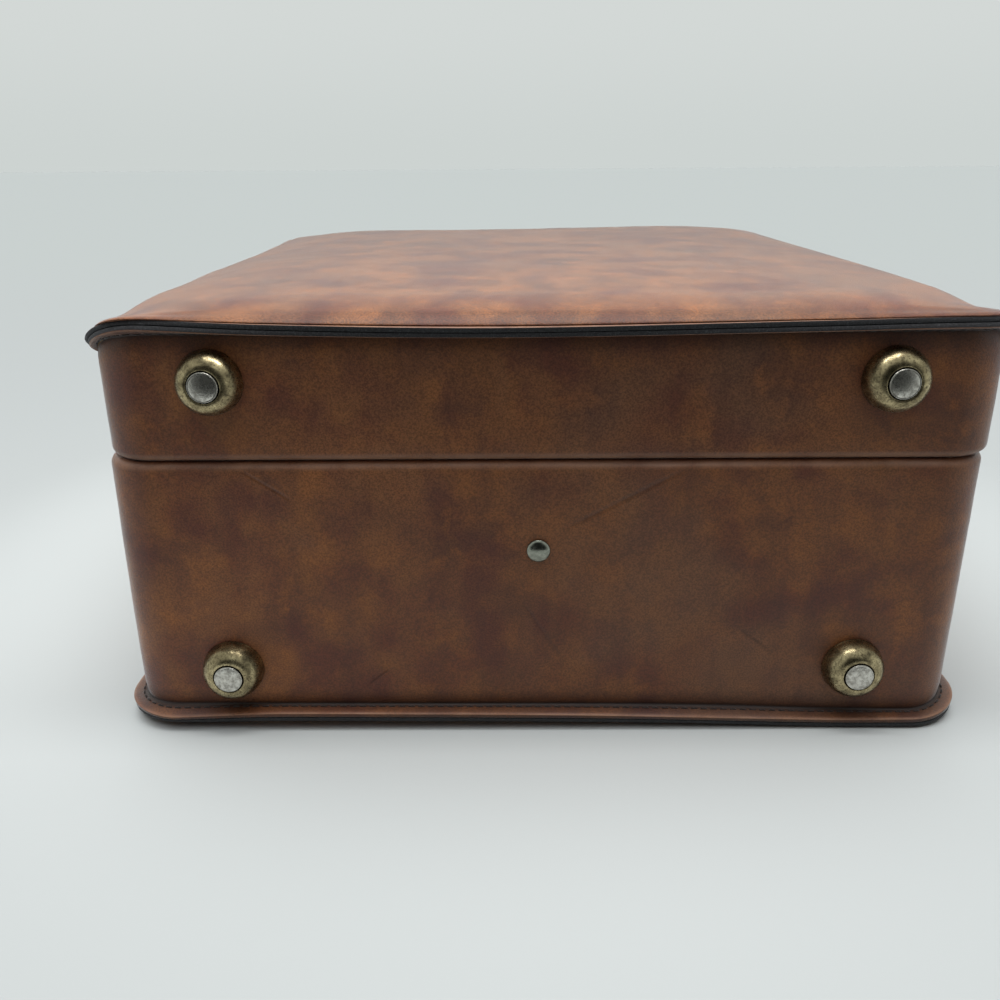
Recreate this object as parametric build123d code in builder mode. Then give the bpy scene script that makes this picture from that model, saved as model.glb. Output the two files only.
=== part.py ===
from build123d import *
import math
import os

os.makedirs("parts", exist_ok=True)

# The case lies on its back: feet towards -Y, handle towards +Y, hinges at -X, latches at +X.
# The origin is the middle of the flat patch that the padded back rests on. All sizes in millimetres.

# Case
case_width = 305.0
case_length = 356.0
body_wall_height = 94.4
lid_wall_height = 43.1
seam_gap = 0.5
corner_radius = 18.0
rim_radius = 3.0
cover_thickness = 1.2
frame_thickness = 6.0
board_thickness = 4.0
lining_thickness = 1.0
lining_rim_drop = 0.6

# Welts and padded faces
welt_projection = 4.8
welt_strip_thickness = 1.2
back_pillow_rise = 4.0
face_pillow_rise = 6.6
pillow_edge = 24.0
pillow_corner_radius = 20.0
crown_steps = 6

# Feet
body_foot_side_distance = 40.1
lid_foot_side_distance = 41.2
body_feet_shift = -0.9
lid_feet_shift = 1.1
body_foot_height = 16.3
lid_foot_drop = 15.6
dome_radius = 10.85
dome_height = 8.3
dome_land_radius = 5.6
dome_rim_height = 0.8
dome_thickness = 0.8
stud_head_radius = 5.0
stud_head_height = 0.9
stud_radius = 2.0
washer_radius = 6.5
washer_thickness = 1.0

# Rivets
rivet_radius = 1.1
rivet_head_radius = 2.3
rivet_head_height = 0.9
head_round_share = 0.8
clinch_height = 0.6
clinch_overlap = 0.9
hole_clearance = 0.1

# Bottle bay
divider_x = -2.7
divider_thickness = 6.0
divider_rim_drop = 11.4
divider_corner_radius = 12.0
divider_rivet_height = 62.25
divider_rivet_head_radius = 4.15
divider_rivet_head_height = 1.8
channel_thickness = 1.2
channel_height = 40.0
channel_depth = 16.0
channel_clearance = 0.1
divider_end_gap = 1.5
strap_y = 20.0
strap_width = 25.0
strap_thickness = 1.6
strap_tab_height = 20.0
strap_overlap = 9.0
snap_radius = 6.0
snap_height = 1.6
snap_round = 1.1
snap_shank_radius = 1.5
snap_shank_length = 12.0
strap_rivet_depth = 4.0
strap_rivet_head_radius = 3.5

# Tool panel and loops
panel_width = 220.0
panel_length = 250.0
panel_thickness = 3.0
panel_corner_radius = 15.0
loop_y = 25.0
loop_band_width = 22.0
loop_band_thickness = 1.5
loop_band_end = 5.5
loop_count = 4
loop_pitch = 50.0
loop_inner_width = 25.0
loop_inner_depth = 11.0

# Hinges
hinge_end_distance = 73.0
hinge_width = 44.0
leaf_height = 15.0
leaf_thickness = 1.0
leaf_corner_radius = 3.0
knuckle_radius = 2.6
knuckle_gap = 0.2
knuckle_share = 3
knuckle_notch = 0.5
hinge_pin_radius = 1.2
pin_head_radius = 1.9
pin_head_height = 0.8
pin_running_clearance = 0.05
pin_seat_clearance = 0.02
hinge_rivet_spacing = 15.0
leaf_rivet_height = 9.0

# Latches
latch_end_distance = 78.0
latch_plate_width = 28.0
latch_plate_height = 38.0
latch_plate_thickness = 1.0
latch_rim_drop = 0.4
latch_rivet_spacing = 20.0
latch_rivet_edge = 3.6
latch_foot_rivet_edge = 2.4
latch_corner_radius = 2.0
housing_width = 24.0
housing_height = 16.0
housing_depth = 7.0
housing_wall = 1.0
housing_edge_radius = 1.0
housing_foot = 5.6
hasp_plate_height = 19.0
hasp_pivot_height = 3.4
hasp_barrel_radius = 2.3
hasp_barrel_length = 12.0
hasp_barrel_gap = 0.3
hasp_ear_length = 4.5
hasp_pin_radius = 1.0
hasp_width = 16.0
hasp_thickness = 1.2
hasp_end_radius = 5.3
hasp_shoulder_radius = 1.2
hasp_reach = 24.5
hasp_neck = 4.2
hasp_wall_gap = 0.1
tongue_width = 6.0
tongue_height = 3.5
tongue_depth = 2.3
tongue_end_distance = 1.6
catch_width = 8.0
catch_thickness = 0.5
catch_gap = 0.5
slide_travel = 6.0
slide_plate_width = 9.0
slide_plate_thickness = 2.0
thumb_round = 1.0
slide_clearance = 0.2
slide_back_gap = 0.8
thumb_width = 6.0
thumb_height = 5.0
thumb_projection = 2.6
slide_spring_radius = 1.3
slide_spring_bore = 0.8
slide_spring_gap = 0.1

# Handle
handle_pivot_height = 70.0
handle_stand = 11.0
handle_span = 114.0
handle_reach = 36.0
bail_radius = 2.5
bail_bend_radius = 5.0
ear_length = 6.0
ear_gap = 1.0
ear_wall = 2.2
bail_head_overhang = 1.0
bail_head_length = 1.2
grip_length = 92.0
grip_depth = 8.6
grip_height = 6.6
grip_end_share = 0.72
grip_waist_share = 0.55
grip_taper_power = 4
bracket_width = 31.0
bracket_height = 16.0
bracket_thickness = 1.2
bracket_corner_radius = 4.8
bracket_rivet_spacing = 23.0

# Heights, from the surface that the back rests on
welt_thickness = 2 * cover_thickness + welt_strip_thickness
body_crease_z = back_pillow_rise + welt_thickness
body_rim_z = body_crease_z + body_wall_height
seam_z = body_rim_z + seam_gap / 2
lid_rim_z = body_rim_z + seam_gap
lid_crease_z = lid_rim_z + lid_wall_height
top_z = lid_crease_z + welt_thickness + face_pillow_rise
body_floor_z = body_crease_z + board_thickness
lid_ceiling_z = lid_crease_z - board_thickness

# Insets from the outer face of the side cover
frame_inset = cover_thickness
lining_inset = cover_thickness + frame_thickness
room_inset = cover_thickness + frame_thickness + lining_thickness

# Wall planes: each has its local x along the wall and its local y up
foot_wall = Plane(origin=(0, -case_length / 2, 0), x_dir=(1, 0, 0), z_dir=(0, -1, 0))
handle_wall = Plane(origin=(0, case_length / 2, 0), x_dir=(-1, 0, 0), z_dir=(0, 1, 0))
latch_wall = Plane(origin=(case_width / 2, 0, 0), x_dir=(0, 1, 0), z_dir=(1, 0, 0))
hinge_wall = Plane(origin=(-case_width / 2, 0, 0), x_dir=(0, -1, 0), z_dir=(-1, 0, 0))

# Where the fasteners go through the walls, in each wall's own x and height
body_foot_z = body_crease_z + body_foot_height
lid_foot_z = lid_crease_z - lid_foot_drop


def foot_pair(side_distance, shift, height):
    """Two feet level on the foot wall, set by hand a little off its middle."""
    reach = case_width / 2 - side_distance
    return [(shift - reach, height), (shift + reach, height)]


body_feet = foot_pair(body_foot_side_distance, body_feet_shift, body_foot_z)
lid_feet = foot_pair(lid_foot_side_distance, lid_feet_shift, lid_foot_z)
divider_rivet_z = body_crease_z + divider_rivet_height
divider_rivets = [(divider_x, divider_rivet_z)]

hinge_y = case_length / 2 - hinge_end_distance
hinge_centres = [-hinge_y, hinge_y]
hinge_rows = [c + k * hinge_rivet_spacing for c in hinge_centres for k in (-1, 0, 1)]
body_hinge_rivets = [(row, seam_z - leaf_rivet_height) for row in hinge_rows]
lid_hinge_rivets = [(row, seam_z + leaf_rivet_height) for row in hinge_rows]

latch_y = case_length / 2 - latch_end_distance
latch_sides = {"near": -1, "far": 1}
latch_plate_top = body_rim_z - rim_radius - latch_rim_drop
latch_plate_foot = latch_plate_top - latch_plate_height
hasp_plate_foot = lid_rim_z + rim_radius + latch_rim_drop
hasp_plate_top = hasp_plate_foot + hasp_plate_height
latch_columns = [
    side * latch_y + k * latch_rivet_spacing / 2
    for side in latch_sides.values()
    for k in (-1, 1)
]
latch_rivets = [
    (column, row)
    for column in latch_columns
    for row in (latch_plate_top - latch_rivet_edge, latch_plate_foot + latch_foot_rivet_edge)
]
hasp_plate_rivets = [(column, hasp_plate_top - latch_rivet_edge) for column in latch_columns]

ear_x = handle_span / 2 + bail_radius + bail_bend_radius / 2 + ear_gap
bracket_x = ear_x + ear_length / 2
handle_rivets = [
    (side * bracket_x + k * bracket_rivet_spacing / 2, handle_pivot_height)
    for side in (-1, 1)
    for k in (-1, 1)
]


def slab(z_low, z_high, inset):
    """A slab with the case's plan outline, drawn in by inset."""
    with BuildPart() as form:
        with BuildSketch(Plane.XY.offset(z_low)):
            RectangleRounded(case_width - 2 * inset, case_length - 2 * inset, corner_radius - inset)
        extrude(amount=z_high - z_low)
    return form.part


def pillow(z_foot, z_crown, inset_foot, inset_crown):
    """A cushion form: its edge rises from the foot outline to the crown in a quarter of an oval."""
    with BuildPart() as form:
        for step in range(crown_steps + 1):
            turn = math.radians(90 * step / crown_steps)
            inset = inset_foot + (inset_crown - inset_foot) * (1 - math.cos(turn))
            with BuildSketch(Plane.XY.offset(z_foot + (z_crown - z_foot) * math.sin(turn))):
                RectangleRounded(
                    case_width - 2 * inset, case_length - 2 * inset, pillow_corner_radius
                )
        loft(ruled=True)
    return form.part


def bar(x_range, y_range, z_range):
    """A square-edged bar between three pairs of limits."""
    with BuildPart() as form:
        with BuildSketch(Plane.XY.offset(min(z_range))):
            with Locations((sum(x_range) / 2, sum(y_range) / 2)):
                Rectangle(abs(x_range[1] - x_range[0]), abs(y_range[1] - y_range[0]))
        extrude(amount=abs(z_range[1] - z_range[0]))
    return form.part


def rod_along_y(x, z, radius, y_range):
    """A round rod along Y."""
    with BuildPart() as form:
        with BuildSketch(Plane.XZ.offset(-max(y_range))):
            with Locations((x, z)):
                Circle(radius)
        extrude(amount=abs(y_range[1] - y_range[0]))
    return form.part


def pegs(wall, points, radius, start, end):
    """Round pegs square to a wall, from one distance off it to another."""
    with BuildPart() as form:
        with BuildSketch(wall.offset(start)):
            with Locations(*points):
                Circle(radius)
        extrude(amount=end - start)
    return form.part


def fasteners(wall, points, head_radius, head_height, shank_radius, seat, grip):
    """Round-headed fasteners: heads on a seat off the wall, shanks inward, clinched ends."""
    outward = Axis((0, 0, 0), wall.z_dir)
    with BuildPart() as form:
        with BuildSketch(wall.offset(seat)):
            with Locations(*points):
                Circle(head_radius)
        extrude(amount=head_height)
        rims = form.edges().filter_by(GeomType.CIRCLE).group_by(outward)[-1]
        fillet(rims, head_round_share * head_height)
        with BuildSketch(wall.offset(seat)):
            with Locations(*points):
                Circle(shank_radius)
        extrude(amount=-grip)
        with BuildSketch(wall.offset(seat - grip)):
            with Locations(*points):
                Circle(shank_radius + clinch_overlap)
        extrude(amount=-clinch_height)
    return form.part


def wall_holes(wall, points, shank_radius):
    """The clearance holes that fasteners need through a whole wall."""
    return pegs(wall, points, shank_radius + hole_clearance, -2 * room_inset, cover_thickness)


# Holes through the walls of each half
divider_rivet_hole = wall_holes(foot_wall, divider_rivets, rivet_radius)
body_hinge_holes = wall_holes(hinge_wall, body_hinge_rivets, rivet_radius)
lid_hinge_holes = wall_holes(hinge_wall, lid_hinge_rivets, rivet_radius)
body_holes = [
    wall_holes(foot_wall, body_feet, stud_radius),
    divider_rivet_hole,
    body_hinge_holes,
    wall_holes(latch_wall, latch_rivets, rivet_radius),
    wall_holes(handle_wall, handle_rivets, rivet_radius),
]
lid_holes = [
    wall_holes(foot_wall, lid_feet, stud_radius),
    lid_hinge_holes,
    wall_holes(latch_wall, hasp_plate_rivets, rivet_radius),
]

# Heights of the bottle bay
divider_top_z = body_rim_z - divider_rim_drop
room_floor_z = body_floor_z + lining_thickness
room_half_width = case_width / 2 - room_inset
room_half_length = case_length / 2 - room_inset
strap_range_y = (strap_y - strap_width / 2, strap_y + strap_width / 2)
strap_rivet_z = divider_top_z - strap_tab_height / 2
strap_rivet_points = [(strap_y, strap_rivet_z)]
strap_rivet_holes = [
    pegs(
        wall,
        [(direction * strap_y, strap_rivet_z)],
        rivet_radius + hole_clearance,
        -room_inset - 2 * strap_thickness,
        -room_inset + strap_rivet_depth,
    )
    for wall, direction in ((latch_wall, 1), (hinge_wall, -1))
]

# Body shell: plywood wall frame
body_core = slab(body_crease_z, body_rim_z - cover_thickness, frame_inset)
with BuildPart() as body_envelope:
    add(body_core)
    fillet(
        body_envelope.faces().sort_by(Axis.Z)[-1].edges(),
        rim_radius - cover_thickness,
    )

with BuildPart() as body_frame:
    add(body_envelope.part)
    add(slab(0, body_floor_z, frame_inset), mode=Mode.SUBTRACT)
    add(slab(0, body_rim_z, lining_inset), mode=Mode.SUBTRACT)
    add(body_holes, mode=Mode.SUBTRACT)
    add(strap_rivet_holes, mode=Mode.SUBTRACT)
body_frame.part.label = "body_frame"
export_step(body_frame.part, "parts/body_frame.step")

# Back board, glued to the edge of the wall frame
with BuildPart() as body_back_board:
    add(slab(body_crease_z, body_floor_z, frame_inset))
body_back_board.part.label = "body_back_board"
export_step(body_back_board.part, "parts/body_back_board.step")

# Foam pad under the back
body_strip_z = back_pillow_rise + cover_thickness
with BuildPart() as body_back_pad:
    add(slab(body_strip_z, body_crease_z, frame_inset))
    add(pillow(body_strip_z, cover_thickness, frame_inset, pillow_edge + frame_inset))
body_back_pad.part.label = "body_back_pad"
export_step(body_back_pad.part, "parts/body_back_pad.step")

# Back cover: a shallow pillow over the pad, its edge turned out as the lower half of the welt
with BuildPart() as body_back_cover:
    add(slab(back_pillow_rise, body_strip_z, -welt_projection))
    add(pillow(back_pillow_rise, 0, 0, pillow_edge))
    add(body_back_pad.part, mode=Mode.SUBTRACT)
body_back_cover.part.label = "body_back_cover"
export_step(body_back_cover.part, "parts/body_back_cover.step")

# Backing strip sewn between the two layers of the lower welt
with BuildPart() as body_welt:
    add(slab(body_strip_z, body_strip_z + welt_strip_thickness, -welt_projection))
    add(slab(0, body_crease_z, frame_inset), mode=Mode.SUBTRACT)
body_welt.part.label = "body_welt"
export_step(body_welt.part, "parts/body_welt.step")

# Side cover of the body: turned out at the welt and rolled over the rim at the seam
with BuildPart() as body_side_cover:
    add(slab(body_crease_z - cover_thickness, body_rim_z, 0))
    fillet(body_side_cover.faces().sort_by(Axis.Z)[-1].edges(), rim_radius)
    add(slab(body_crease_z - cover_thickness, body_crease_z, -welt_projection))
    add(slab(0, body_crease_z, frame_inset), mode=Mode.SUBTRACT)
    add(body_envelope.part, mode=Mode.SUBTRACT)
    add(slab(0, body_rim_z, lining_inset), mode=Mode.SUBTRACT)
    add(body_holes, mode=Mode.SUBTRACT)
body_side_cover.part.label = "body_side_cover"
export_step(body_side_cover.part, "parts/body_side_cover.step")

# Linings of the body
with BuildPart() as body_floor_lining:
    add(slab(body_floor_z, room_floor_z, lining_inset))
body_floor_lining.part.label = "body_floor_lining"
export_step(body_floor_lining.part, "parts/body_floor_lining.step")

with BuildPart() as body_wall_lining:
    add(slab(room_floor_z, body_rim_z - lining_rim_drop, lining_inset))
    add(slab(0, body_rim_z, room_inset), mode=Mode.SUBTRACT)
    add(body_holes, mode=Mode.SUBTRACT)
    add(strap_rivet_holes, mode=Mode.SUBTRACT)
body_wall_lining.part.label = "body_wall_lining"
export_step(body_wall_lining.part, "parts/body_wall_lining.step")

# Lid shell: plywood wall frame
lid_core = slab(lid_rim_z + cover_thickness, lid_crease_z, frame_inset)
with BuildPart() as lid_envelope:
    add(lid_core)
    fillet(lid_envelope.faces().sort_by(Axis.Z)[0].edges(), rim_radius - cover_thickness)

with BuildPart() as lid_frame:
    add(lid_envelope.part)
    add(slab(lid_ceiling_z, lid_crease_z, frame_inset), mode=Mode.SUBTRACT)
    add(slab(lid_rim_z, lid_crease_z, lining_inset), mode=Mode.SUBTRACT)
    add(lid_holes, mode=Mode.SUBTRACT)
lid_frame.part.label = "lid_frame"
export_step(lid_frame.part, "parts/lid_frame.step")

with BuildPart() as lid_face_board:
    add(slab(lid_ceiling_z, lid_crease_z, frame_inset))
lid_face_board.part.label = "lid_face_board"
export_step(lid_face_board.part, "parts/lid_face_board.step")

# Foam pad and crowned face cover of the lid
lid_strip_z = lid_crease_z + cover_thickness
face_lip_z = lid_strip_z + welt_strip_thickness
face_foot_z = face_lip_z + cover_thickness
with BuildPart() as lid_face_pad:
    add(slab(lid_crease_z, face_lip_z, frame_inset))
    add(pillow(face_lip_z, top_z - cover_thickness, frame_inset, pillow_edge + frame_inset))
lid_face_pad.part.label = "lid_face_pad"
export_step(lid_face_pad.part, "parts/lid_face_pad.step")

with BuildPart() as lid_face_cover:
    add(slab(face_lip_z, face_foot_z, -welt_projection))
    add(pillow(face_foot_z, top_z, 0, pillow_edge))
    add(lid_face_pad.part, mode=Mode.SUBTRACT)
lid_face_cover.part.label = "lid_face_cover"
export_step(lid_face_cover.part, "parts/lid_face_cover.step")

with BuildPart() as lid_welt:
    add(slab(lid_strip_z, face_lip_z, -welt_projection))
    add(slab(lid_crease_z, top_z, frame_inset), mode=Mode.SUBTRACT)
lid_welt.part.label = "lid_welt"
export_step(lid_welt.part, "parts/lid_welt.step")

with BuildPart() as lid_side_cover:
    add(slab(lid_rim_z, lid_strip_z, 0))
    fillet(lid_side_cover.faces().sort_by(Axis.Z)[0].edges(), rim_radius)
    add(slab(lid_crease_z, lid_strip_z, -welt_projection))
    add(slab(lid_crease_z, top_z, frame_inset), mode=Mode.SUBTRACT)
    add(lid_envelope.part, mode=Mode.SUBTRACT)
    add(slab(0, top_z, lining_inset), mode=Mode.SUBTRACT)
    add(lid_holes, mode=Mode.SUBTRACT)
lid_side_cover.part.label = "lid_side_cover"
export_step(lid_side_cover.part, "parts/lid_side_cover.step")

# Linings of the lid
panel_back_z = lid_ceiling_z - lining_thickness
with BuildPart() as lid_ceiling_lining:
    add(slab(panel_back_z, lid_ceiling_z, lining_inset))
lid_ceiling_lining.part.label = "lid_ceiling_lining"
export_step(lid_ceiling_lining.part, "parts/lid_ceiling_lining.step")

with BuildPart() as lid_wall_lining:
    add(slab(lid_rim_z + lining_rim_drop, panel_back_z, lining_inset))
    add(slab(0, top_z, room_inset), mode=Mode.SUBTRACT)
    add(lid_holes, mode=Mode.SUBTRACT)
lid_wall_lining.part.label = "lid_wall_lining"
export_step(lid_wall_lining.part, "parts/lid_wall_lining.step")


def foot_domes(points):
    """Hollow domes on the foot wall, each a bowed shell with a flat land round its stud."""
    bore = stud_radius + hole_clearance
    inner_radius = dome_radius - dome_thickness
    inner_land = dome_land_radius - dome_thickness / 2
    inner_height = dome_height - dome_thickness
    bow = math.sqrt(0.5)
    outer_bow = (
        dome_land_radius + (dome_radius - dome_land_radius) * bow,
        dome_rim_height + (dome_height - dome_rim_height) * bow,
    )
    inner_bow = (
        inner_land + (inner_radius - inner_land) * bow,
        dome_rim_height + (inner_height - dome_rim_height) * bow,
    )
    with BuildPart() as form:
        for x, z in points:
            centre = (x, -case_length / 2, z)
            with BuildSketch(Plane(origin=centre, x_dir=(1, 0, 0), z_dir=(0, 0, -1))):
                with BuildLine():
                    Line((inner_radius, 0), (dome_radius, 0))
                    Line((dome_radius, 0), (dome_radius, dome_rim_height))
                    ThreePointArc(
                        (dome_radius, dome_rim_height), outer_bow, (dome_land_radius, dome_height)
                    )
                    Line((dome_land_radius, dome_height), (bore, dome_height))
                    Line((bore, dome_height), (bore, inner_height))
                    Line((bore, inner_height), (inner_land, inner_height))
                    ThreePointArc(
                        (inner_land, inner_height), inner_bow, (inner_radius, dome_rim_height)
                    )
                    Line((inner_radius, dome_rim_height), (inner_radius, 0))
                make_face()
            revolve(axis=Axis(centre, (0, -1, 0)))
    return form.part


def foot_washers(points):
    """Flat washers on the lining, round the inner ends of the studs."""
    with BuildPart() as form:
        add(pegs(foot_wall, points, washer_radius, -room_inset - washer_thickness, -room_inset))
        bores = pegs(foot_wall, points, stud_radius + hole_clearance, -2 * room_inset, 0)
        add(bores, mode=Mode.SUBTRACT)
    return form.part


# Feet: domes, the studs whose flat heads the case stands on, and washers
stud_grip = dome_height + room_inset + washer_thickness
for half, points in {"body": body_feet, "lid": lid_feet}.items():
    with BuildPart() as domes:
        add(foot_domes(points))
    domes.part.label = f"{half}_foot_domes"
    export_step(domes.part, f"parts/{half}_foot_domes.step")

    with BuildPart() as studs:
        add(
            fasteners(
                foot_wall,
                points,
                stud_head_radius,
                stud_head_height,
                stud_radius,
                dome_height,
                stud_grip,
            )
        )
    studs.part.label = f"{half}_foot_studs"
    export_step(studs.part, f"parts/{half}_foot_studs.step")

    with BuildPart() as washers:
        add(foot_washers(points))
    washers.part.label = f"{half}_foot_washers"
    export_step(washers.part, f"parts/{half}_foot_washers.step")

# Channel that holds the divider's end, and the rivet that shows outside between the feet
channel_back_y = -room_half_length
channel_web_y = channel_back_y + channel_thickness
channel_half_width = divider_thickness / 2 + channel_clearance
channel_range_z = (divider_rivet_z - channel_height / 2, divider_rivet_z + channel_height / 2)
with BuildPart() as divider_channel:
    outer = channel_half_width + channel_thickness
    add(
        bar(
            (divider_x - outer, divider_x + outer),
            (channel_back_y, channel_back_y + channel_depth),
            channel_range_z,
        )
    )
    add(
        bar(
            (divider_x - channel_half_width, divider_x + channel_half_width),
            (channel_web_y, channel_back_y + 2 * channel_depth),
            channel_range_z,
        ),
        mode=Mode.SUBTRACT,
    )
    add(divider_rivet_hole, mode=Mode.SUBTRACT)
divider_channel.part.label = "divider_channel"
export_step(divider_channel.part, "parts/divider_channel.step")

with BuildPart() as divider_rivet:
    add(
        fasteners(
            foot_wall,
            divider_rivets,
            divider_rivet_head_radius,
            divider_rivet_head_height,
            rivet_radius,
            0,
            room_inset + channel_thickness,
        )
    )
divider_rivet.part.label = "divider_rivet"
export_step(divider_rivet.part, "parts/divider_rivet.step")

# Divider between the two bottle bays
with BuildPart() as snap_bore:
    with BuildSketch(Plane.XY.offset(divider_top_z - snap_shank_length)):
        with Locations((divider_x, strap_y)):
            Circle(snap_shank_radius + hole_clearance)
    extrude(amount=2 * snap_shank_length)

with BuildPart() as bottle_divider:
    add(
        bar(
            (divider_x - divider_thickness / 2, divider_x + divider_thickness / 2),
            (channel_web_y + divider_end_gap, room_half_length),
            (room_floor_z, divider_top_z),
        )
    )
    fillet(
        bottle_divider.edges().filter_by(Axis.X).group_by(Axis.Z)[-1],
        divider_corner_radius,
    )
    add(snap_bore.part, mode=Mode.SUBTRACT)
bottle_divider.part.label = "bottle_divider"
export_step(bottle_divider.part, "parts/bottle_divider.step")

# Bottle straps: each runs from a tab on its wall across the bay to the top of the divider
with BuildPart() as bottle_straps:
    for side, layer in ((-1, 0), (1, 1)):
        span_z = divider_top_z + layer * strap_thickness
        add(
            bar(
                (side * room_half_width, divider_x - side * strap_overlap),
                strap_range_y,
                (span_z, span_z + strap_thickness),
            )
        )
        add(
            bar(
                (side * room_half_width, side * (room_half_width - strap_thickness)),
                strap_range_y,
                (divider_top_z - strap_tab_height, span_z),
            )
        )
    add(strap_rivet_holes, mode=Mode.SUBTRACT)
    add(snap_bore.part, mode=Mode.SUBTRACT)
bottle_straps.part.label = "bottle_straps"
export_step(bottle_straps.part, "parts/bottle_straps.step")

# Strap rivets, driven from inside into the plywood
with BuildPart() as strap_rivets:
    for wall, direction in ((latch_wall, 1), (hinge_wall, -1)):
        point = [(direction * strap_y, strap_rivet_z)]
        head_seat = -room_inset - strap_thickness
        shank_end = -room_inset + strap_rivet_depth
        add(pegs(wall, point, strap_rivet_head_radius, head_seat - rivet_head_height, head_seat))
        add(pegs(wall, point, rivet_radius, head_seat, shank_end))
strap_rivets.part.label = "strap_rivets"
export_step(strap_rivets.part, "parts/strap_rivets.step")

# Snap that holds both straps down on the divider
snap_seat_z = divider_top_z + 2 * strap_thickness
with BuildPart() as strap_snap:
    with BuildSketch(Plane.XY.offset(snap_seat_z)):
        with Locations((divider_x, strap_y)):
            Circle(snap_radius)
    extrude(amount=snap_height)
    fillet(strap_snap.edges().group_by(Axis.Z)[-1], snap_round)
    with BuildSketch(Plane.XY.offset(snap_seat_z)):
        with Locations((divider_x, strap_y)):
            Circle(snap_shank_radius)
    extrude(amount=-snap_shank_length)
strap_snap.part.label = "strap_snap"
export_step(strap_snap.part, "parts/strap_snap.step")

# Tool panel on the lid's ceiling
panel_face_z = panel_back_z - panel_thickness
loop_rivet_x = [(k - loop_count / 2) * loop_pitch for k in range(loop_count + 1)]
band_half_length = loop_count * loop_pitch / 2 + loop_band_end
with BuildPart() as loop_rivet_bores:
    with BuildSketch(Plane.XY.offset(panel_face_z - 2 * loop_band_thickness)):
        with Locations(*[(x, loop_y) for x in loop_rivet_x]):
            Circle(rivet_radius + hole_clearance)
    extrude(amount=2 * loop_band_thickness + panel_thickness)

with BuildPart() as tool_panel:
    with BuildSketch(Plane.XY.offset(panel_face_z)):
        RectangleRounded(panel_width, panel_length, panel_corner_radius)
    extrude(amount=panel_thickness)
    add(loop_rivet_bores.part, mode=Mode.SUBTRACT)
tool_panel.part.label = "tool_panel"
export_step(tool_panel.part, "parts/tool_panel.step")

# Elastic band sewn into a row of loops for the bar tools
loop_radius = loop_inner_depth / 2
with BuildPart() as tool_loops:
    with BuildSketch(Plane.XZ.offset(-loop_y - loop_band_width / 2)):
        with Locations((0, panel_face_z - loop_band_thickness / 2)):
            Rectangle(2 * band_half_length, loop_band_thickness)
        loop_centres = [
            ((k - (loop_count - 1) / 2) * loop_pitch, panel_face_z) for k in range(loop_count)
        ]
        with Locations(*loop_centres):
            RectangleRounded(
                loop_inner_width + 2 * loop_band_thickness,
                2 * (loop_inner_depth + loop_band_thickness),
                loop_radius + loop_band_thickness,
            )
        with Locations(*loop_centres):
            RectangleRounded(
                loop_inner_width, 2 * loop_inner_depth, loop_radius, mode=Mode.SUBTRACT
            )
        with Locations((0, panel_face_z + loop_inner_depth)):
            Rectangle(2 * band_half_length, 2 * loop_inner_depth, mode=Mode.SUBTRACT)
    extrude(amount=loop_band_width)
    add(loop_rivet_bores.part, mode=Mode.SUBTRACT)
tool_loops.part.label = "tool_loops"
export_step(tool_loops.part, "parts/tool_loops.step")

with BuildPart() as tool_loop_rivets:
    with BuildSketch(Plane.XY.offset(panel_face_z - loop_band_thickness)):
        with Locations(*[(x, loop_y) for x in loop_rivet_x]):
            Circle(rivet_head_radius)
    extrude(amount=-rivet_head_height)
    with BuildSketch(Plane.XY.offset(panel_face_z - loop_band_thickness)):
        with Locations(*[(x, loop_y) for x in loop_rivet_x]):
            Circle(rivet_radius)
    extrude(amount=loop_band_thickness + panel_thickness)
tool_loop_rivets.part.label = "tool_loop_rivets"
export_step(tool_loop_rivets.part, "parts/tool_loop_rivets.step")

# Hinges: the pin's axis stands one knuckle radius off the wall, at the height of the seam
hinge_axis_x = -case_width / 2 - knuckle_radius
knuckle_length = hinge_width / knuckle_share
lid_knuckle = knuckle_length / 2 - knuckle_gap / 2
body_knuckle = knuckle_length / 2 + knuckle_gap / 2
leaf_x = (-case_width / 2 - leaf_thickness, -case_width / 2)


def leaf_plates(direction):
    """Two leaves flat on the hinge wall, below the seam or above it."""
    outer_edge = seam_z + direction * leaf_height
    with BuildPart() as form:
        for centre in hinge_centres:
            add(
                bar(
                    leaf_x,
                    (centre - hinge_width / 2, centre + hinge_width / 2),
                    (seam_z, outer_edge),
                )
            )
        ends = form.edges().filter_by(Axis.X).group_by(Axis.Z)
        fillet(ends[-1] if direction > 0 else ends[0], leaf_corner_radius)
    return form.part


def knuckle_clearance(centre, y_range):
    """The room that a leaf leaves for the other leaf's knuckle."""
    reach = knuckle_radius + knuckle_notch
    y_low, y_high = y_range
    return bar(
        (hinge_axis_x - reach, -case_width / 2),
        (centre + y_low, centre + y_high),
        (seam_z - reach, seam_z + reach),
    )


with BuildPart() as body_hinge_leaves:
    add(leaf_plates(-1))
    for centre in hinge_centres:
        notch = knuckle_clearance(centre, (-body_knuckle, body_knuckle))
        add(notch, mode=Mode.SUBTRACT)
        for low, high in ((-hinge_width / 2, -body_knuckle), (body_knuckle, hinge_width / 2)):
            add(rod_along_y(hinge_axis_x, seam_z, knuckle_radius, (centre + low, centre + high)))
        bore_radius = hinge_pin_radius + pin_seat_clearance
        bore = rod_along_y(
            hinge_axis_x, seam_z, bore_radius, (centre - hinge_width, centre + hinge_width)
        )
        add(bore, mode=Mode.SUBTRACT)
    add(body_hinge_holes, mode=Mode.SUBTRACT)
body_hinge_leaves.part.label = "body_hinge_leaves"
export_step(body_hinge_leaves.part, "parts/body_hinge_leaves.step")

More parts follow.
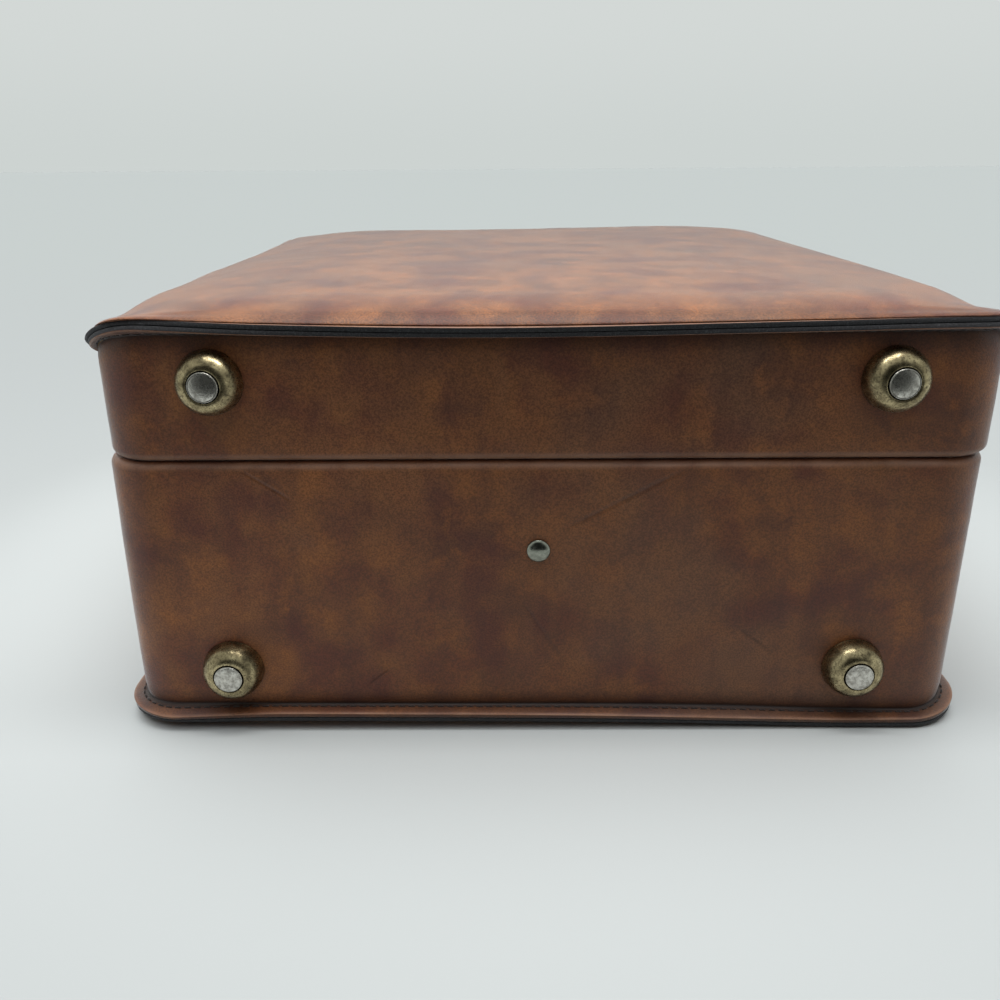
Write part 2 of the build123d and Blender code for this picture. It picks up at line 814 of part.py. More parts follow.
with BuildPart() as lid_hinge_leaves:
    add(leaf_plates(1))
    for centre in hinge_centres:
        for low, high in ((-hinge_width, -lid_knuckle), (lid_knuckle, hinge_width)):
            add(knuckle_clearance(centre, (low, high)), mode=Mode.SUBTRACT)
        lid_range = (centre - lid_knuckle, centre + lid_knuckle)
        add(rod_along_y(hinge_axis_x, seam_z, knuckle_radius, lid_range))
        bore_radius = hinge_pin_radius + pin_running_clearance
        add(rod_along_y(hinge_axis_x, seam_z, bore_radius, lid_range), mode=Mode.SUBTRACT)
    add(lid_hinge_holes, mode=Mode.SUBTRACT)
lid_hinge_leaves.part.label = "lid_hinge_leaves"
export_step(lid_hinge_leaves.part, "parts/lid_hinge_leaves.step")

with BuildPart() as hinge_pins:
    for centre in hinge_centres:
        low, high = centre - hinge_width / 2, centre + hinge_width / 2
        add(rod_along_y(hinge_axis_x, seam_z, hinge_pin_radius, (low, high)))
        add(rod_along_y(hinge_axis_x, seam_z, pin_head_radius, (low - pin_head_height, low)))
        add(rod_along_y(hinge_axis_x, seam_z, pin_head_radius, (high, high + pin_head_height)))
hinge_pins.part.label = "hinge_pins"
export_step(hinge_pins.part, "parts/hinge_pins.step")

# Small rivets of the hinges, latches, hasp plates and handle brackets
rivet_groups = {
    "body_hinge_rivets": (hinge_wall, body_hinge_rivets, leaf_thickness),
    "lid_hinge_rivets": (hinge_wall, lid_hinge_rivets, leaf_thickness),
    "latch_rivets": (latch_wall, latch_rivets, latch_plate_thickness),
    "hasp_plate_rivets": (latch_wall, hasp_plate_rivets, latch_plate_thickness),
    "handle_bracket_rivets": (handle_wall, handle_rivets, bracket_thickness),
}
for name, (wall, points, seat) in rivet_groups.items():
    with BuildPart() as rivets:
        add(
            fasteners(
                wall,
                points,
                rivet_head_radius,
                rivet_head_height,
                rivet_radius,
                seat,
                seat + room_inset,
            )
        )
    rivets.part.label = name
    export_step(rivets.part, f"parts/{name}.step")

# Latches. Distances along X from the latch wall outward.
wall_x = case_width / 2
plate_face_x = wall_x + latch_plate_thickness
housing_low_z = latch_plate_foot + housing_foot
housing_high_z = housing_low_z + housing_height
housing_mid_z = (housing_low_z + housing_high_z) / 2
housing_face_x = plate_face_x + housing_depth
hasp_pivot_x = plate_face_x + hasp_barrel_radius + hasp_wall_gap
hasp_pivot_z = hasp_plate_foot + hasp_pivot_height
hasp_outer_x = hasp_pivot_x + hasp_barrel_radius
hasp_inner_x = hasp_outer_x - hasp_thickness
hasp_low_z = hasp_pivot_z - hasp_reach
slide_rest = -housing_width / 2 + housing_wall + slide_clearance
slide_low_x = plate_face_x + slide_back_gap
slide_high_x = slide_low_x + slide_plate_thickness
thumb_start = slide_rest + (slide_plate_width - thumb_width) / 2
ear_start = hasp_barrel_length / 2 + hasp_barrel_gap


def across(side, low, high):
    """A pair of Y limits, measured from a latch's middle towards its end of the case."""
    middle = side * latch_y
    return tuple(sorted((middle + side * low, middle + side * high)))


# Room that a catch spring needs beside the plate, up through the top of the housing
catch_slots = [
    bar(
        (plate_face_x, plate_face_x + catch_thickness + catch_gap),
        across(side, -catch_width / 2 - slide_clearance, catch_width / 2 + slide_clearance),
        (housing_mid_z, housing_high_z + housing_wall),
    )
    for side in latch_sides.values()
]

# Latch plates, riveted to the wall
with BuildPart() as latch_plates:
    for side in latch_sides.values():
        plate_y = across(side, -latch_plate_width / 2, latch_plate_width / 2)
        add(bar((wall_x, plate_face_x), plate_y, (latch_plate_foot, latch_plate_top)))
    fillet(latch_plates.edges().filter_by(Axis.X).group_by(Axis.Z)[-1], latch_corner_radius)
    fillet(latch_plates.edges().filter_by(Axis.X).group_by(Axis.Z)[0], latch_corner_radius)
    rivet_bores = pegs(
        latch_wall, latch_rivets, rivet_radius + hole_clearance, 0, latch_plate_thickness
    )
    add(rivet_bores, mode=Mode.SUBTRACT)
latch_plates.part.label = "latch_plates"
export_step(latch_plates.part, "parts/latch_plates.step")

# Latch housings: boxes on the plates, each with a slot for the thumb slide and its catch spring
with BuildPart() as latch_housings:
    for side in latch_sides.values():
        housing_y = across(side, -housing_width / 2, housing_width / 2)
        add(bar((plate_face_x, housing_face_x), housing_y, (housing_low_z, housing_high_z)))
    fillet(latch_housings.faces().group_by(Axis.X)[-1].edges(), housing_edge_radius)
    for side in latch_sides.values():
        cavity_y = across(
            side, -housing_width / 2 + housing_wall, housing_width / 2 - housing_wall
        )
        cavity_z = (housing_low_z + housing_wall, housing_high_z - housing_wall)
        cavity = bar((plate_face_x, housing_face_x - housing_wall), cavity_y, cavity_z)
        add(cavity, mode=Mode.SUBTRACT)
        slot_y = across(
            side,
            thumb_start - slide_clearance,
            thumb_start + thumb_width + slide_travel + slide_clearance,
        )
        slot_half = thumb_height / 2 + slide_clearance
        slot_z = (housing_mid_z - slot_half, housing_mid_z + slot_half)
        slot = bar((plate_face_x + housing_wall, housing_face_x + housing_wall), slot_y, slot_z)
        add(slot, mode=Mode.SUBTRACT)
    add(catch_slots, mode=Mode.SUBTRACT)
latch_housings.part.label = "latch_housings"
export_step(latch_housings.part, "parts/latch_housings.step")

# Catch springs: leaf springs on the plates whose noses close over the hasps' tongues
tongue_low_z = hasp_low_z + tongue_end_distance
tongue_high_z = tongue_low_z + tongue_height
nose_z = (tongue_high_z + catch_gap, tongue_high_z + catch_gap + 2 * catch_thickness)
with BuildPart() as catch_springs:
    for side in latch_sides.values():
        catch_y = across(side, -catch_width / 2, catch_width / 2)
        leaf_z = (housing_low_z + housing_wall, nose_z[1])
        add(bar((plate_face_x, plate_face_x + catch_thickness), catch_y, leaf_z))
        add(bar((plate_face_x, hasp_inner_x - catch_gap), catch_y, nose_z))
catch_springs.part.label = "catch_springs"
export_step(catch_springs.part, "parts/catch_springs.step")

# Thumb slides, one for each latch
for name, side in latch_sides.items():
    with BuildPart() as thumb_slide:
        slide_y = across(side, slide_rest, slide_rest + slide_plate_width)
        slide_z = (
            housing_low_z + housing_wall + slide_clearance,
            housing_high_z - housing_wall - slide_clearance,
        )
        add(bar((slide_low_x, slide_high_x), slide_y, slide_z))
        thumb_y = across(side, thumb_start, thumb_start + thumb_width)
        thumb_z = (housing_mid_z - thumb_height / 2, housing_mid_z + thumb_height / 2)
        add(bar((slide_high_x, housing_face_x + thumb_projection), thumb_y, thumb_z))
        fillet(thumb_slide.faces().sort_by(Axis.X)[-1].edges(), thumb_round)
    thumb_slide.part.label = f"thumb_slide_{name}"
    export_step(thumb_slide.part, f"parts/thumb_slide_{name}.step")

# Slide springs: each pushes its slide back towards the middle of the case
spring_x = slide_low_x + slide_plate_thickness / 2 + slide_clearance
with BuildPart() as slide_springs:
    for side in latch_sides.values():
        spring_y = across(
            side,
            slide_rest + slide_plate_width + slide_spring_gap,
            housing_width / 2 - housing_wall - slide_spring_gap,
        )
        add(rod_along_y(spring_x, housing_mid_z, slide_spring_radius, spring_y))
        bore = rod_along_y(spring_x, housing_mid_z, slide_spring_bore, spring_y)
        add(bore, mode=Mode.SUBTRACT)
slide_springs.part.label = "slide_springs"
export_step(slide_springs.part, "parts/slide_springs.step")

# Hasp plates on the lid, each with two ears that hold the hasp's pin
with BuildPart() as hasp_plates:
    for side in latch_sides.values():
        plate_y = across(side, -latch_plate_width / 2, latch_plate_width / 2)
        add(bar((wall_x, plate_face_x), plate_y, (hasp_plate_foot, hasp_plate_top)))
    fillet(hasp_plates.edges().filter_by(Axis.X).group_by(Axis.Z)[-1], latch_corner_radius)
    for side in latch_sides.values():
        for end in (-1, 1):
            ear_y = across(side, end * ear_start, end * (ear_start + hasp_ear_length))
            add(rod_along_y(hasp_pivot_x, hasp_pivot_z, hasp_barrel_radius, ear_y))
            root_z = (hasp_pivot_z - hasp_barrel_radius, hasp_pivot_z + hasp_barrel_radius)
            add(bar((plate_face_x, hasp_pivot_x), ear_y, root_z))
        middle = side * latch_y
        bore_y = (middle - latch_plate_width, middle + latch_plate_width)
        bore_radius = hasp_pin_radius + pin_seat_clearance
        add(
            rod_along_y(hasp_pivot_x, hasp_pivot_z, bore_radius, bore_y), mode=Mode.SUBTRACT
        )
    rivet_bores = pegs(
        latch_wall, hasp_plate_rivets, rivet_radius + hole_clearance, 0, latch_plate_thickness
    )
    add(rivet_bores, mode=Mode.SUBTRACT)
hasp_plates.part.label = "hasp_plates"
export_step(hasp_plates.part, "parts/hasp_plates.step")

with BuildPart() as hasp_pins:
    for side in latch_sides.values():
        pin_end = ear_start + hasp_ear_length
        pin_y = across(side, -pin_end, pin_end)
        add(rod_along_y(hasp_pivot_x, hasp_pivot_z, hasp_pin_radius, pin_y))
hasp_pins.part.label = "hasp_pins"
export_step(hasp_pins.part, "parts/hasp_pins.step")

# Hasps: a barrel on the pin, a narrow neck, a wide tab with a rounded end and a tongue behind it
for name, side in latch_sides.items():
    with BuildPart() as hasp:
        neck_low_z = hasp_pivot_z - hasp_neck
        tab_y = across(side, -hasp_width / 2, hasp_width / 2)
        add(bar((hasp_inner_x, hasp_outer_x), tab_y, (hasp_low_z, neck_low_z)))
        fillet(hasp.edges().filter_by(Axis.X).group_by(Axis.Z)[0], hasp_end_radius)
        fillet(hasp.edges().filter_by(Axis.X).group_by(Axis.Z)[-1], hasp_shoulder_radius)
        barrel_y = across(side, -hasp_barrel_length / 2, hasp_barrel_length / 2)
        add(bar((hasp_inner_x, hasp_outer_x), barrel_y, (neck_low_z, hasp_pivot_z)))
        add(rod_along_y(hasp_pivot_x, hasp_pivot_z, hasp_barrel_radius, barrel_y))
        bore_radius = hasp_pin_radius + pin_running_clearance
        add(
            rod_along_y(hasp_pivot_x, hasp_pivot_z, bore_radius, barrel_y), mode=Mode.SUBTRACT
        )
        tongue_y = across(side, -tongue_width / 2, tongue_width / 2)
        tongue_x = (hasp_inner_x - tongue_depth, hasp_inner_x)
        add(bar(tongue_x, tongue_y, (tongue_low_z, tongue_high_z)))
    hasp.part.label = f"hasp_{name}"
    export_step(hasp.part, f"parts/hasp_{name}.step")

# Handle: wire bail hanging from two brackets, with a padded grip
handle_y = case_length / 2 + handle_stand
grip_z = handle_pivot_height - handle_reach
bail_end = ear_x + ear_length + ear_gap / 2
bail_corners = [
    (-bail_end, handle_pivot_height),
    (-handle_span / 2, handle_pivot_height),
    (-handle_span / 2, grip_z),
    (handle_span / 2, grip_z),
    (handle_span / 2, handle_pivot_height),
    (bail_end, handle_pivot_height),
]
with BuildPart() as handle_bail:
    with BuildLine(Plane.XZ.offset(-handle_y)) as bail_path:
        FilletPolyline(*bail_corners, radius=bail_bend_radius)
    with BuildSketch(Plane(origin=bail_path.line @ 0, z_dir=bail_path.line % 0)):
        Circle(bail_radius)
    sweep()
    for side in (-1, 1):
        with BuildSketch(Plane.YZ.offset(side * bail_end)):
            with Locations((handle_y, handle_pivot_height)):
                Circle(bail_radius + bail_head_overhang)
        extrude(amount=side * bail_head_length)
handle_bail.part.label = "handle_bail"
export_step(handle_bail.part, "parts/handle_bail.step")

with BuildPart() as handle_grip:
    for share in (-1, -grip_waist_share, 0, grip_waist_share, 1):
        size = 1 - (1 - grip_end_share) * abs(share) ** grip_taper_power
        with BuildSketch(Plane.YZ.offset(share * grip_length / 2)):
            with Locations((handle_y, grip_z)):
                Ellipse(grip_depth * size, grip_height * size)
    loft()
    with BuildSketch(Plane.YZ.offset(-grip_length)):
        with Locations((handle_y, grip_z)):
            Circle(bail_radius)
    extrude(amount=2 * grip_length, mode=Mode.SUBTRACT)
handle_grip.part.label = "handle_grip"
export_step(handle_grip.part, "parts/handle_grip.step")

# Handle brackets: a plate on the wall and an ear with the bearing for the bail
wall_y = case_length / 2
with BuildPart() as handle_brackets:
    with BuildSketch(handle_wall):
        with Locations((-bracket_x, handle_pivot_height), (bracket_x, handle_pivot_height)):
            RectangleRounded(bracket_width, bracket_height, bracket_corner_radius)
    extrude(amount=bracket_thickness)
    ear_radius = bail_radius + ear_wall
    for side in (-1, 1):
        with BuildSketch(Plane.YZ.offset(side * ear_x)):
            with Locations(((wall_y + handle_y) / 2, handle_pivot_height)):
                Rectangle(handle_stand, 2 * ear_radius)
            with Locations((handle_y, handle_pivot_height)):
                Circle(ear_radius)
                Circle(bail_radius + pin_running_clearance, mode=Mode.SUBTRACT)
        extrude(amount=side * ear_length)
    rivet_bores = pegs(
        handle_wall, handle_rivets, rivet_radius + hole_clearance, 0, bracket_thickness
    )
    add(rivet_bores, mode=Mode.SUBTRACT)
handle_brackets.part.label = "handle_brackets"
export_step(handle_brackets.part, "parts/handle_brackets.step")
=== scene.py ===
from math import asin, atan2, ceil, cos, exp, pi, radians, sin, tan, tau

import bmesh
import bpy
from mathutils import Matrix, Vector, noise


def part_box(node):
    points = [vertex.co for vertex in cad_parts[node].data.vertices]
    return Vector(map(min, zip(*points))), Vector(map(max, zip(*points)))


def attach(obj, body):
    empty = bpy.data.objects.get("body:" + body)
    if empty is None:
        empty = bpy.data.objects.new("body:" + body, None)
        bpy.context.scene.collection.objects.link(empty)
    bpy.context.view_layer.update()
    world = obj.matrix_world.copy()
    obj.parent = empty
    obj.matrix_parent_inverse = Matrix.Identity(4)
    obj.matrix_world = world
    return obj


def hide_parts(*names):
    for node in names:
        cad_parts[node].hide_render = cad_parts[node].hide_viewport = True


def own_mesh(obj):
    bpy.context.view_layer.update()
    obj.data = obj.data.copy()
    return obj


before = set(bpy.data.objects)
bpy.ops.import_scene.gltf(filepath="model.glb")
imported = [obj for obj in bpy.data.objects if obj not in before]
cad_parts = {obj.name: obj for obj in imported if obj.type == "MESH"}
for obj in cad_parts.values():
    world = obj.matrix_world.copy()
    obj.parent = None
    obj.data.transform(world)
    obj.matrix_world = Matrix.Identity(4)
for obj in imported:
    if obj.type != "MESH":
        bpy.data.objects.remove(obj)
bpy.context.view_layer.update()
scene = bpy.context.scene

MM = 0.001

# Sizes of the covers that the frame doesn't give by itself
COVER = 1.2 * MM
FRAME_WALL = 6.0 * MM
CORNER_RADIUS = 18.0 * MM
RIM_RADIUS = 3.0 * MM
WALL_TUCK = 0.7 * MM
TUCK_RISE = 7.0 * MM
WELT_HALF = 1.8 * MM
LIP_LAYER = 1.65 * MM
LIP_SKIN = 0.28 * MM

# The padded faces: how they round over at their edges, crown, bulge and hang over the seam
PILLOW_EDGE = 24.0 * MM
PILLOW_EDGE_SIDES = 30.0 * MM
PILLOW_POWER = 1.6
PILLOW_POWER_HINGE_SIDE = 1.08
PILLOW_POWER_LATCH_SIDE = 1.5
PILLOW_CORNER_RADIUS = 34.0 * MM
PILLOW_ROUNDING = 0.5
PILLOW_CROWN = 2.3 * MM
PILLOW_FULLER = 1.8 * MM
PILLOW_SETTLE = 0.5 * MM
PILLOW_OVERHANG = 0.5 * MM
PILLOW_OVERHANG_FRONT = 4.15 * MM
PILLOW_LEAST = 0.35 * MM
PILLOW_UNDER = 0.4 * MM
PILLOW_BULGE_SHARE = 0.9 / 6.6

# Stations round the case: steps in each corner, along each long side and along each end
CORNER_STEPS = 18
SIDE_STEPS = 90
END_STEPS = 66

# How closely the covers' slow waves and small ripples follow each other, per metre
WANDER_RATE = 14
RIPPLE_RATE = 22
RIPPLE_RATE_UP = 26


def low(node):
    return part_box(node)[0]


def high(node):
    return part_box(node)[1]


def middle(node):
    return (low(node) + high(node)) / 2


half_x = high("body_frame").x + COVER
half_y = high("body_frame").y + COVER
lip_reach = high("body_welt").x - half_x
body_crease = low("body_back_board").z
body_rim = high("body_side_cover").z
lid_rim = low("lid_side_cover").z
lid_crease = high("lid_face_board").z
lid_top = high("lid_face_cover").z
body_lip_foot = low("body_welt").z - COVER
lid_lip_head = high("lid_welt").z + COVER


def add_object(name, data):
    made = bpy.data.objects.new(name, data)
    scene.collection.objects.link(made)
    return made


# Camera, at the photograph's viewing angle
CAMERA_PLACE = Vector((-14.135, -472.568, 196.52)) * MM
CAMERA_YAW = radians(0.35)
CAMERA_TILT = radians(90 - 20.12)
CAMERA_ROLL = radians(-0.375)
camera_data = bpy.data.cameras.new("camera")
camera_data.lens = 33.16
camera_data.sensor_width = 36.0
camera_data.clip_start = 0.01
camera = add_object("camera", camera_data)
camera.matrix_world = (
    Matrix.Translation(CAMERA_PLACE)
    @ Matrix.Rotation(CAMERA_YAW, 4, "Z")
    @ Matrix.Rotation(CAMERA_TILT, 4, "X")
    @ Matrix.Rotation(CAMERA_ROLL, 4, "Z")
)
scene.camera = camera
scene.view_settings.view_transform = "Standard"


def srgb(red, green, blue):
    """A colour in the usual 0 to 255 steps, as linear light."""
    def linear(step):
        share = step / 255
        return share / 12.92 if share <= 0.04045 else ((share + 0.055) / 1.055) ** 2.4
    return (linear(red), linear(green), linear(blue), 1.0)


class Nodes:
    """A node tree, written step by step, with its sizes in millimetres."""

    def __init__(self, tree, coordinates):
        self.tree = tree
        tree.nodes.clear()
        self.place = self.node("TexCoord", coordinates)

    def feed(self, socket, value):
        if isinstance(value, bpy.types.NodeSocket):
            self.tree.links.new(value, socket)
        else:
            socket.default_value = value

    def node(self, kind, output=None, settings=(), **inputs):
        """A node whose inputs are fed by name, or one output of it."""
        made = self.tree.nodes.new(f"ShaderNode{kind}")
        for key, value in dict(settings).items():
            setattr(made, key, value)
        for key, value in inputs.items():
            self.feed(made.inputs[key.replace("_", " ")], value)
        return made.outputs[output] if output else made

    def fed(self, kind, settings, *values, output=0):
        """An output of a node whose inputs take values in their own order."""
        made = self.node(kind, settings=settings)
        for socket, value in zip(made.inputs, values):
            self.feed(socket, value)
        return made.outputs[output]

    def noise(self, size, detail=3.0, roughness=0.55, distortion=0.0, place=None):
        """Noise with patches about as wide as size."""
        return self.node(
            "TexNoise", "Fac", Vector=place or self.place, Scale=1 / (size * MM), Detail=detail,
            Roughness=roughness, Distortion=distortion,
        )

    def wave(self, direction, scale, distortion=0.0):
        return self.node(
            "TexWave", "Fac", {"bands_direction": direction}, Vector=self.place, Scale=scale,
            Distortion=distortion,
        )

    def cells(self, size):
        return self.node("TexVoronoi", "Distance", Vector=self.place, Scale=1 / (size * MM))

    def stretched(self, x=1.0, y=1.0, z=1.0, **moved):
        """The place, scaled by each factor, so that patterns run longer where it is small."""
        return self.node("Mapping", "Vector", Vector=self.place, Scale=(x, y, z), **moved)

    def axis(self, name):
        return self.node("SeparateXYZ", name, Vector=self.place)

    def dot(self, direction):
        """How far the place lies along a direction."""
        settings = {"operation": "DOT_PRODUCT"}
        return self.fed("VectorMath", settings, self.place, direction, output="Value")

    def spread(self, value, start, end, to_start=0.0, to_end=1.0):
        """value from start to end, as to_start to to_end, eased and held beyond."""
        settings = {"interpolation_type": "SMOOTHSTEP"}
        return self.fed("MapRange", settings, value, start, end, to_start, to_end)

    def math(self, operation, first, second=0.0):
        return self.fed("Math", {"operation": operation}, first, second)

    def plus(self, first, second):
        return self.math("ADD", first, second)

    def times(self, first, second):
        return self.math("MULTIPLY", first, second)

    def most(self, first, *others):
        for other in others:
            first = self.math("MAXIMUM", first, other)
        return first

    def mix(self, share, first, second, blend="MIX"):
        made = self.node("Mix", settings={"data_type": "RGBA", "blend_type": blend})
        self.feed(made.inputs[0], share)
        self.feed(made.inputs[6], first)
        self.feed(made.inputs[7], second)
        return made.outputs[2]

    def stain(self, base, colour, where, start, end, most):
        """The base stained with a colour, from nowhere at start to its most at end."""
        return self.mix(self.spread(where, start, end, 0.0, most), base, srgb(*colour))

    def painted_crease_shade(self, base, colour):
        """The base, with painted shade: a darker colour where the mesh says that it lies in a crease.
        """
        return self.mix(self.attribute("crease"), base, srgb(*colour))

    def ramp(self, value, *stops):
        """A colour for a value, between stops of (position, red, green, blue)."""
        made = self.node("ValToRGB", Fac=value)
        elements = made.color_ramp.elements
        while len(elements) < len(stops):
            elements.new(0.5)
        for element, (position, *colour) in zip(elements, stops):
            element.position = position
            element.color = srgb(*colour)
        return made.outputs["Color"]

    def attribute(self, name):
        return self.node("Attribute", "Fac", {"attribute_name": name})

    def bump(self, height, depth, **under):
        return self.node("Bump", "Normal", Height=height, Distance=depth * MM, Strength=1.0, **under)

    def ray(self, name):
        return self.node("LightPath", name)

    def seen(self):
        """Whether a ray comes from the camera, also by way of a mirroring or clear surface."""
        glossy = self.ray("Is Glossy Ray")
        return self.most(self.ray("Is Camera Ray"), glossy, self.ray("Is Transmission Ray"))


class Finish(Nodes):
    """A material's nodes."""

    def __init__(self, name):
        self.material = bpy.data.materials.new(name)
        self.material.use_nodes = True
        super().__init__(self.material.node_tree, "Object")

    def shader(self, **inputs):
        return self.node("BsdfPrincipled", "BSDF", **inputs)

    def surface(self, **inputs):
        """The material, finished with one shader."""
        self.node("OutputMaterial", Surface=self.shader(**inputs))
        return self.material

    def metal(self, colour, roughness, normal):
        return self.surface(Base_Color=colour, Metallic=1.0, Roughness=roughness, Normal=normal)


# Faint pressed lines on the foot wall, in millimetres across and up, and their widths
PRESSED_LINES = (
    ((3, 76), (51, 101.5), 1.5), ((-65, 16), (-56, 23), 0.9), ((-10, 53), (8, 24), 1.3),
    ((-104, 100), (-86, 88), 1.0), ((68, 40), (84, 28), 1.0),
)


def pressed_line(f, start, end, width):
    """How near the foot wall's surface lies to a faint line from start to end, as (x, z)."""
    start, end = Vector(start) * MM, Vector(end) * MM
    along = (end - start).normalized()
    centre = (start + end) / 2
    reach = (end - start).length / 2

    def distance(direction):
        place = f.dot((direction.x, 0.0, direction.y))
        return f.math("ABSOLUTE", f.math("SUBTRACT", place, direction.dot(centre)))

    across = f.spread(distance(Vector((-along.y, along.x))), 0.0, width * MM, 1.0, 0.0)
    ends = f.spread(distance(along), reach * 0.5, reach, 1.0, 0.0)
    on_wall = f.spread(f.axis("Y"), 0.8 * MM - half_y, 1.6 * MM - half_y, 1.0, 0.0)
    return f.times(f.times(across, ends), on_wall)


def leatherette(name):
    """Mottled brown leatherette: cloudy patches, fine speckled grain, rims lighter for rubbed wear and
    a painted highlight, and painted shade in the creases.
    The foot wall has painted shade that darkens it a little towards the latches."""
    f = Finish(name)
    drift = f.noise(70, detail=2.0)
    clouds = f.noise(30, detail=4.0, roughness=0.6, distortion=0.4)
    blotches = f.noise(12, detail=5.0, roughness=0.62, distortion=0.3)
    shadows = f.noise(21, roughness=0.5, place=f.stretched(Location=(0.31, 0.17, 0.4)))
    streaks = f.noise(15, roughness=0.5, place=f.stretched(z=0.18, Location=(0.7, 0.2, 0.1)))
    speckle = f.noise(0.6, detail=2.0, roughness=0.75)
    grit = f.noise(0.34, detail=1.0, roughness=0.6)
    base = f.ramp(
        clouds, (0.34, 114, 68, 46), (0.46, 138, 85, 52), (0.56, 154, 96, 55), (0.68, 146, 93, 59)
    )
    base = f.stain(base, (176, 108, 57), blotches, 0.47, 0.70, 0.75)
    base = f.stain(base, (112, 58, 43), shadows, 0.42, 0.70, 0.85)
    base = f.stain(base, (140, 100, 75), drift, 0.52, 0.70, 0.5)
    base = f.stain(base, (98, 56, 44), streaks, 0.50, 0.68, 0.42)
    base = f.stain(base, (160, 104, 64), streaks, 0.46, 0.34, 0.3)
    pressed = f.most(*(pressed_line(f, *line) for line in PRESSED_LINES))
    base = f.mix(f.times(pressed, 0.3), base, srgb(64, 36, 30))
    # Painted shade: the foot wall is darker towards the latch side
    foot_wall = f.spread(f.axis("Y"), 0.8 * MM - half_y, 3.0 * MM - half_y, 1.0, 0.0)
    latch_side_shade = f.times(foot_wall, f.spread(f.axis("X"), -0.9 * half_x, 0.1 * half_x, 0.02, 0.20))
    unshaded_share = f.math("SUBTRACT", 1.0, latch_side_shade)
    flecks = f.times(f.spread(speckle, 0.32, 0.68, 0.62, 1.30), unshaded_share)
    base = f.mix(1.0, base, f.fed("CombineColor", (), flecks, flecks, flecks), "MULTIPLY")
    # Rims are lighter for rubbed wear and a painted highlight; creases are darker with painted shade
    rub = f.times(f.attribute("rub"), f.spread(blotches, 0.35, 0.65, 0.45, 1.0))
    base = f.painted_crease_shade(f.mix(rub, base, srgb(168, 128, 104)), (36, 20, 17))
    grain = f.plus(f.times(speckle, 0.7), f.times(grit, 0.5))
    return f.surface(
        Base_Color=base, Roughness=f.spread(speckle, 0.3, 0.7, 0.40, 0.54),
        Normal=f.bump(grain, 0.16, Normal=f.bump(pressed, -0.22)),
        IOR=1.45, Specular_IOR_Level=0.58,
        Sheen_Weight=0.9, Sheen_Roughness=0.28, Sheen_Tint=srgb(232, 234, 236),
    )


def backing(name):
    """Charcoal cloth backing that shows on the cut edges of the leatherette."""
    f = Finish(name)
    fibre = f.noise(0.5, roughness=0.7)
    colour = f.ramp(fibre, (0.32, 22, 22, 24), (0.55, 50, 50, 53), (0.75, 92, 92, 95))
    colour = f.stain(colour, (38, 36, 38), f.noise(6, detail=2.0), 0.4, 0.7, 0.4)
    return f.surface(Base_Color=colour, Roughness=0.85, Normal=f.bump(fibre, 0.15), Sheen_Weight=0.1)


def aged_brass(name, size, patina):
    """Antiqued brass: pale yellow where rubbed, olive and brown where the patina stays."""
    f = Finish(name)
    clouds = f.noise(size, detail=4.0, roughness=0.62, distortion=0.5)
    fine = f.noise(0.7, roughness=0.7)
    scratches = f.noise(0.9, detail=2.0, place=f.stretched(z=0.12, Rotation=(0.3, 0.6, 0.2)))
    colour = f.ramp(clouds, (0.30, 84, 76, 58), (0.48, 146, 133, 102), (0.66, 192, 177, 138))
    colour = f.mix(1 - patina, colour, srgb(178, 152, 100))
    colour = f.stain(colour, (60, 53, 42), fine, 0.50, 0.68, 0.75 * patina)
    # Painted shade in the mouth's groove and where the rim meets the wall
    colour = f.painted_crease_shade(colour, (30, 28, 20))
    normal = f.bump(f.plus(clouds, f.times(scratches, 0.25)), 0.10)
    return f.metal(colour, f.spread(fine, 0.3, 0.7, 0.20, 0.36), normal)


def worn_nickel(name):
    """Worn nickel plate with fine scratches and dull spots."""
    f = Finish(name)
    spots = f.noise(1.6, detail=4.0, roughness=0.65)
    scratches = f.noise(0.35, detail=2.0, place=f.stretched(x=0.1, Rotation=(0.0, 0.7, 0.0)))
    # Painted shade under the stud's head and round its edge
    colour = f.painted_crease_shade(f.ramp(spots, (0.35, 150, 146, 138), (0.6, 206, 203, 194)), (20, 19, 17))
    normal = f.bump(f.plus(spots, f.times(scratches, 0.35)), 0.05)
    return f.metal(colour, f.spread(spots, 0.35, 0.65, 0.34, 0.2), normal)


def dark_nickel(name):
    """Smooth dark nickel of the small rivet."""
    f = Finish(name)
    spots = f.noise(1.2)
    # Painted shade round the rivet's rim where it meets the leatherette
    colour = f.painted_crease_shade(f.ramp(spots, (0.35, 120, 122, 112), (0.65, 150, 152, 140)), (14, 13, 12))
    return f.metal(colour, f.spread(spots, 0.3, 0.7, 0.14, 0.24), f.bump(spots, 0.02))


def spring_steel(name):
    f = Finish(name)
    drawn = f.noise(0.5, detail=2.0, place=f.stretched(z=0.08))
    colour = f.ramp(drawn, (0.3, 120, 122, 126), (0.7, 165, 167, 170))
    return f.metal(colour, 0.32, f.bump(drawn, 0.03))


def velour(name):
    """Red-brown flocked lining: short pile with brushed patches."""
    f = Finish(name)
    brushed = f.noise(22, distortion=0.6)
    pile = f.noise(0.45, detail=2.0, roughness=0.75)
    colour = f.ramp(brushed, (0.35, 98, 26, 24), (0.65, 132, 40, 34))
    return f.surface(
        Base_Color=f.stain(colour, (70, 16, 16), pile, 0.3, 0.7, 0.55), Roughness=0.95,
        Normal=f.bump(pile, 0.3), Specular_IOR_Level=0.15,
        Sheen_Weight=0.8, Sheen_Roughness=0.35, Sheen_Tint=srgb(210, 120, 105),
    )


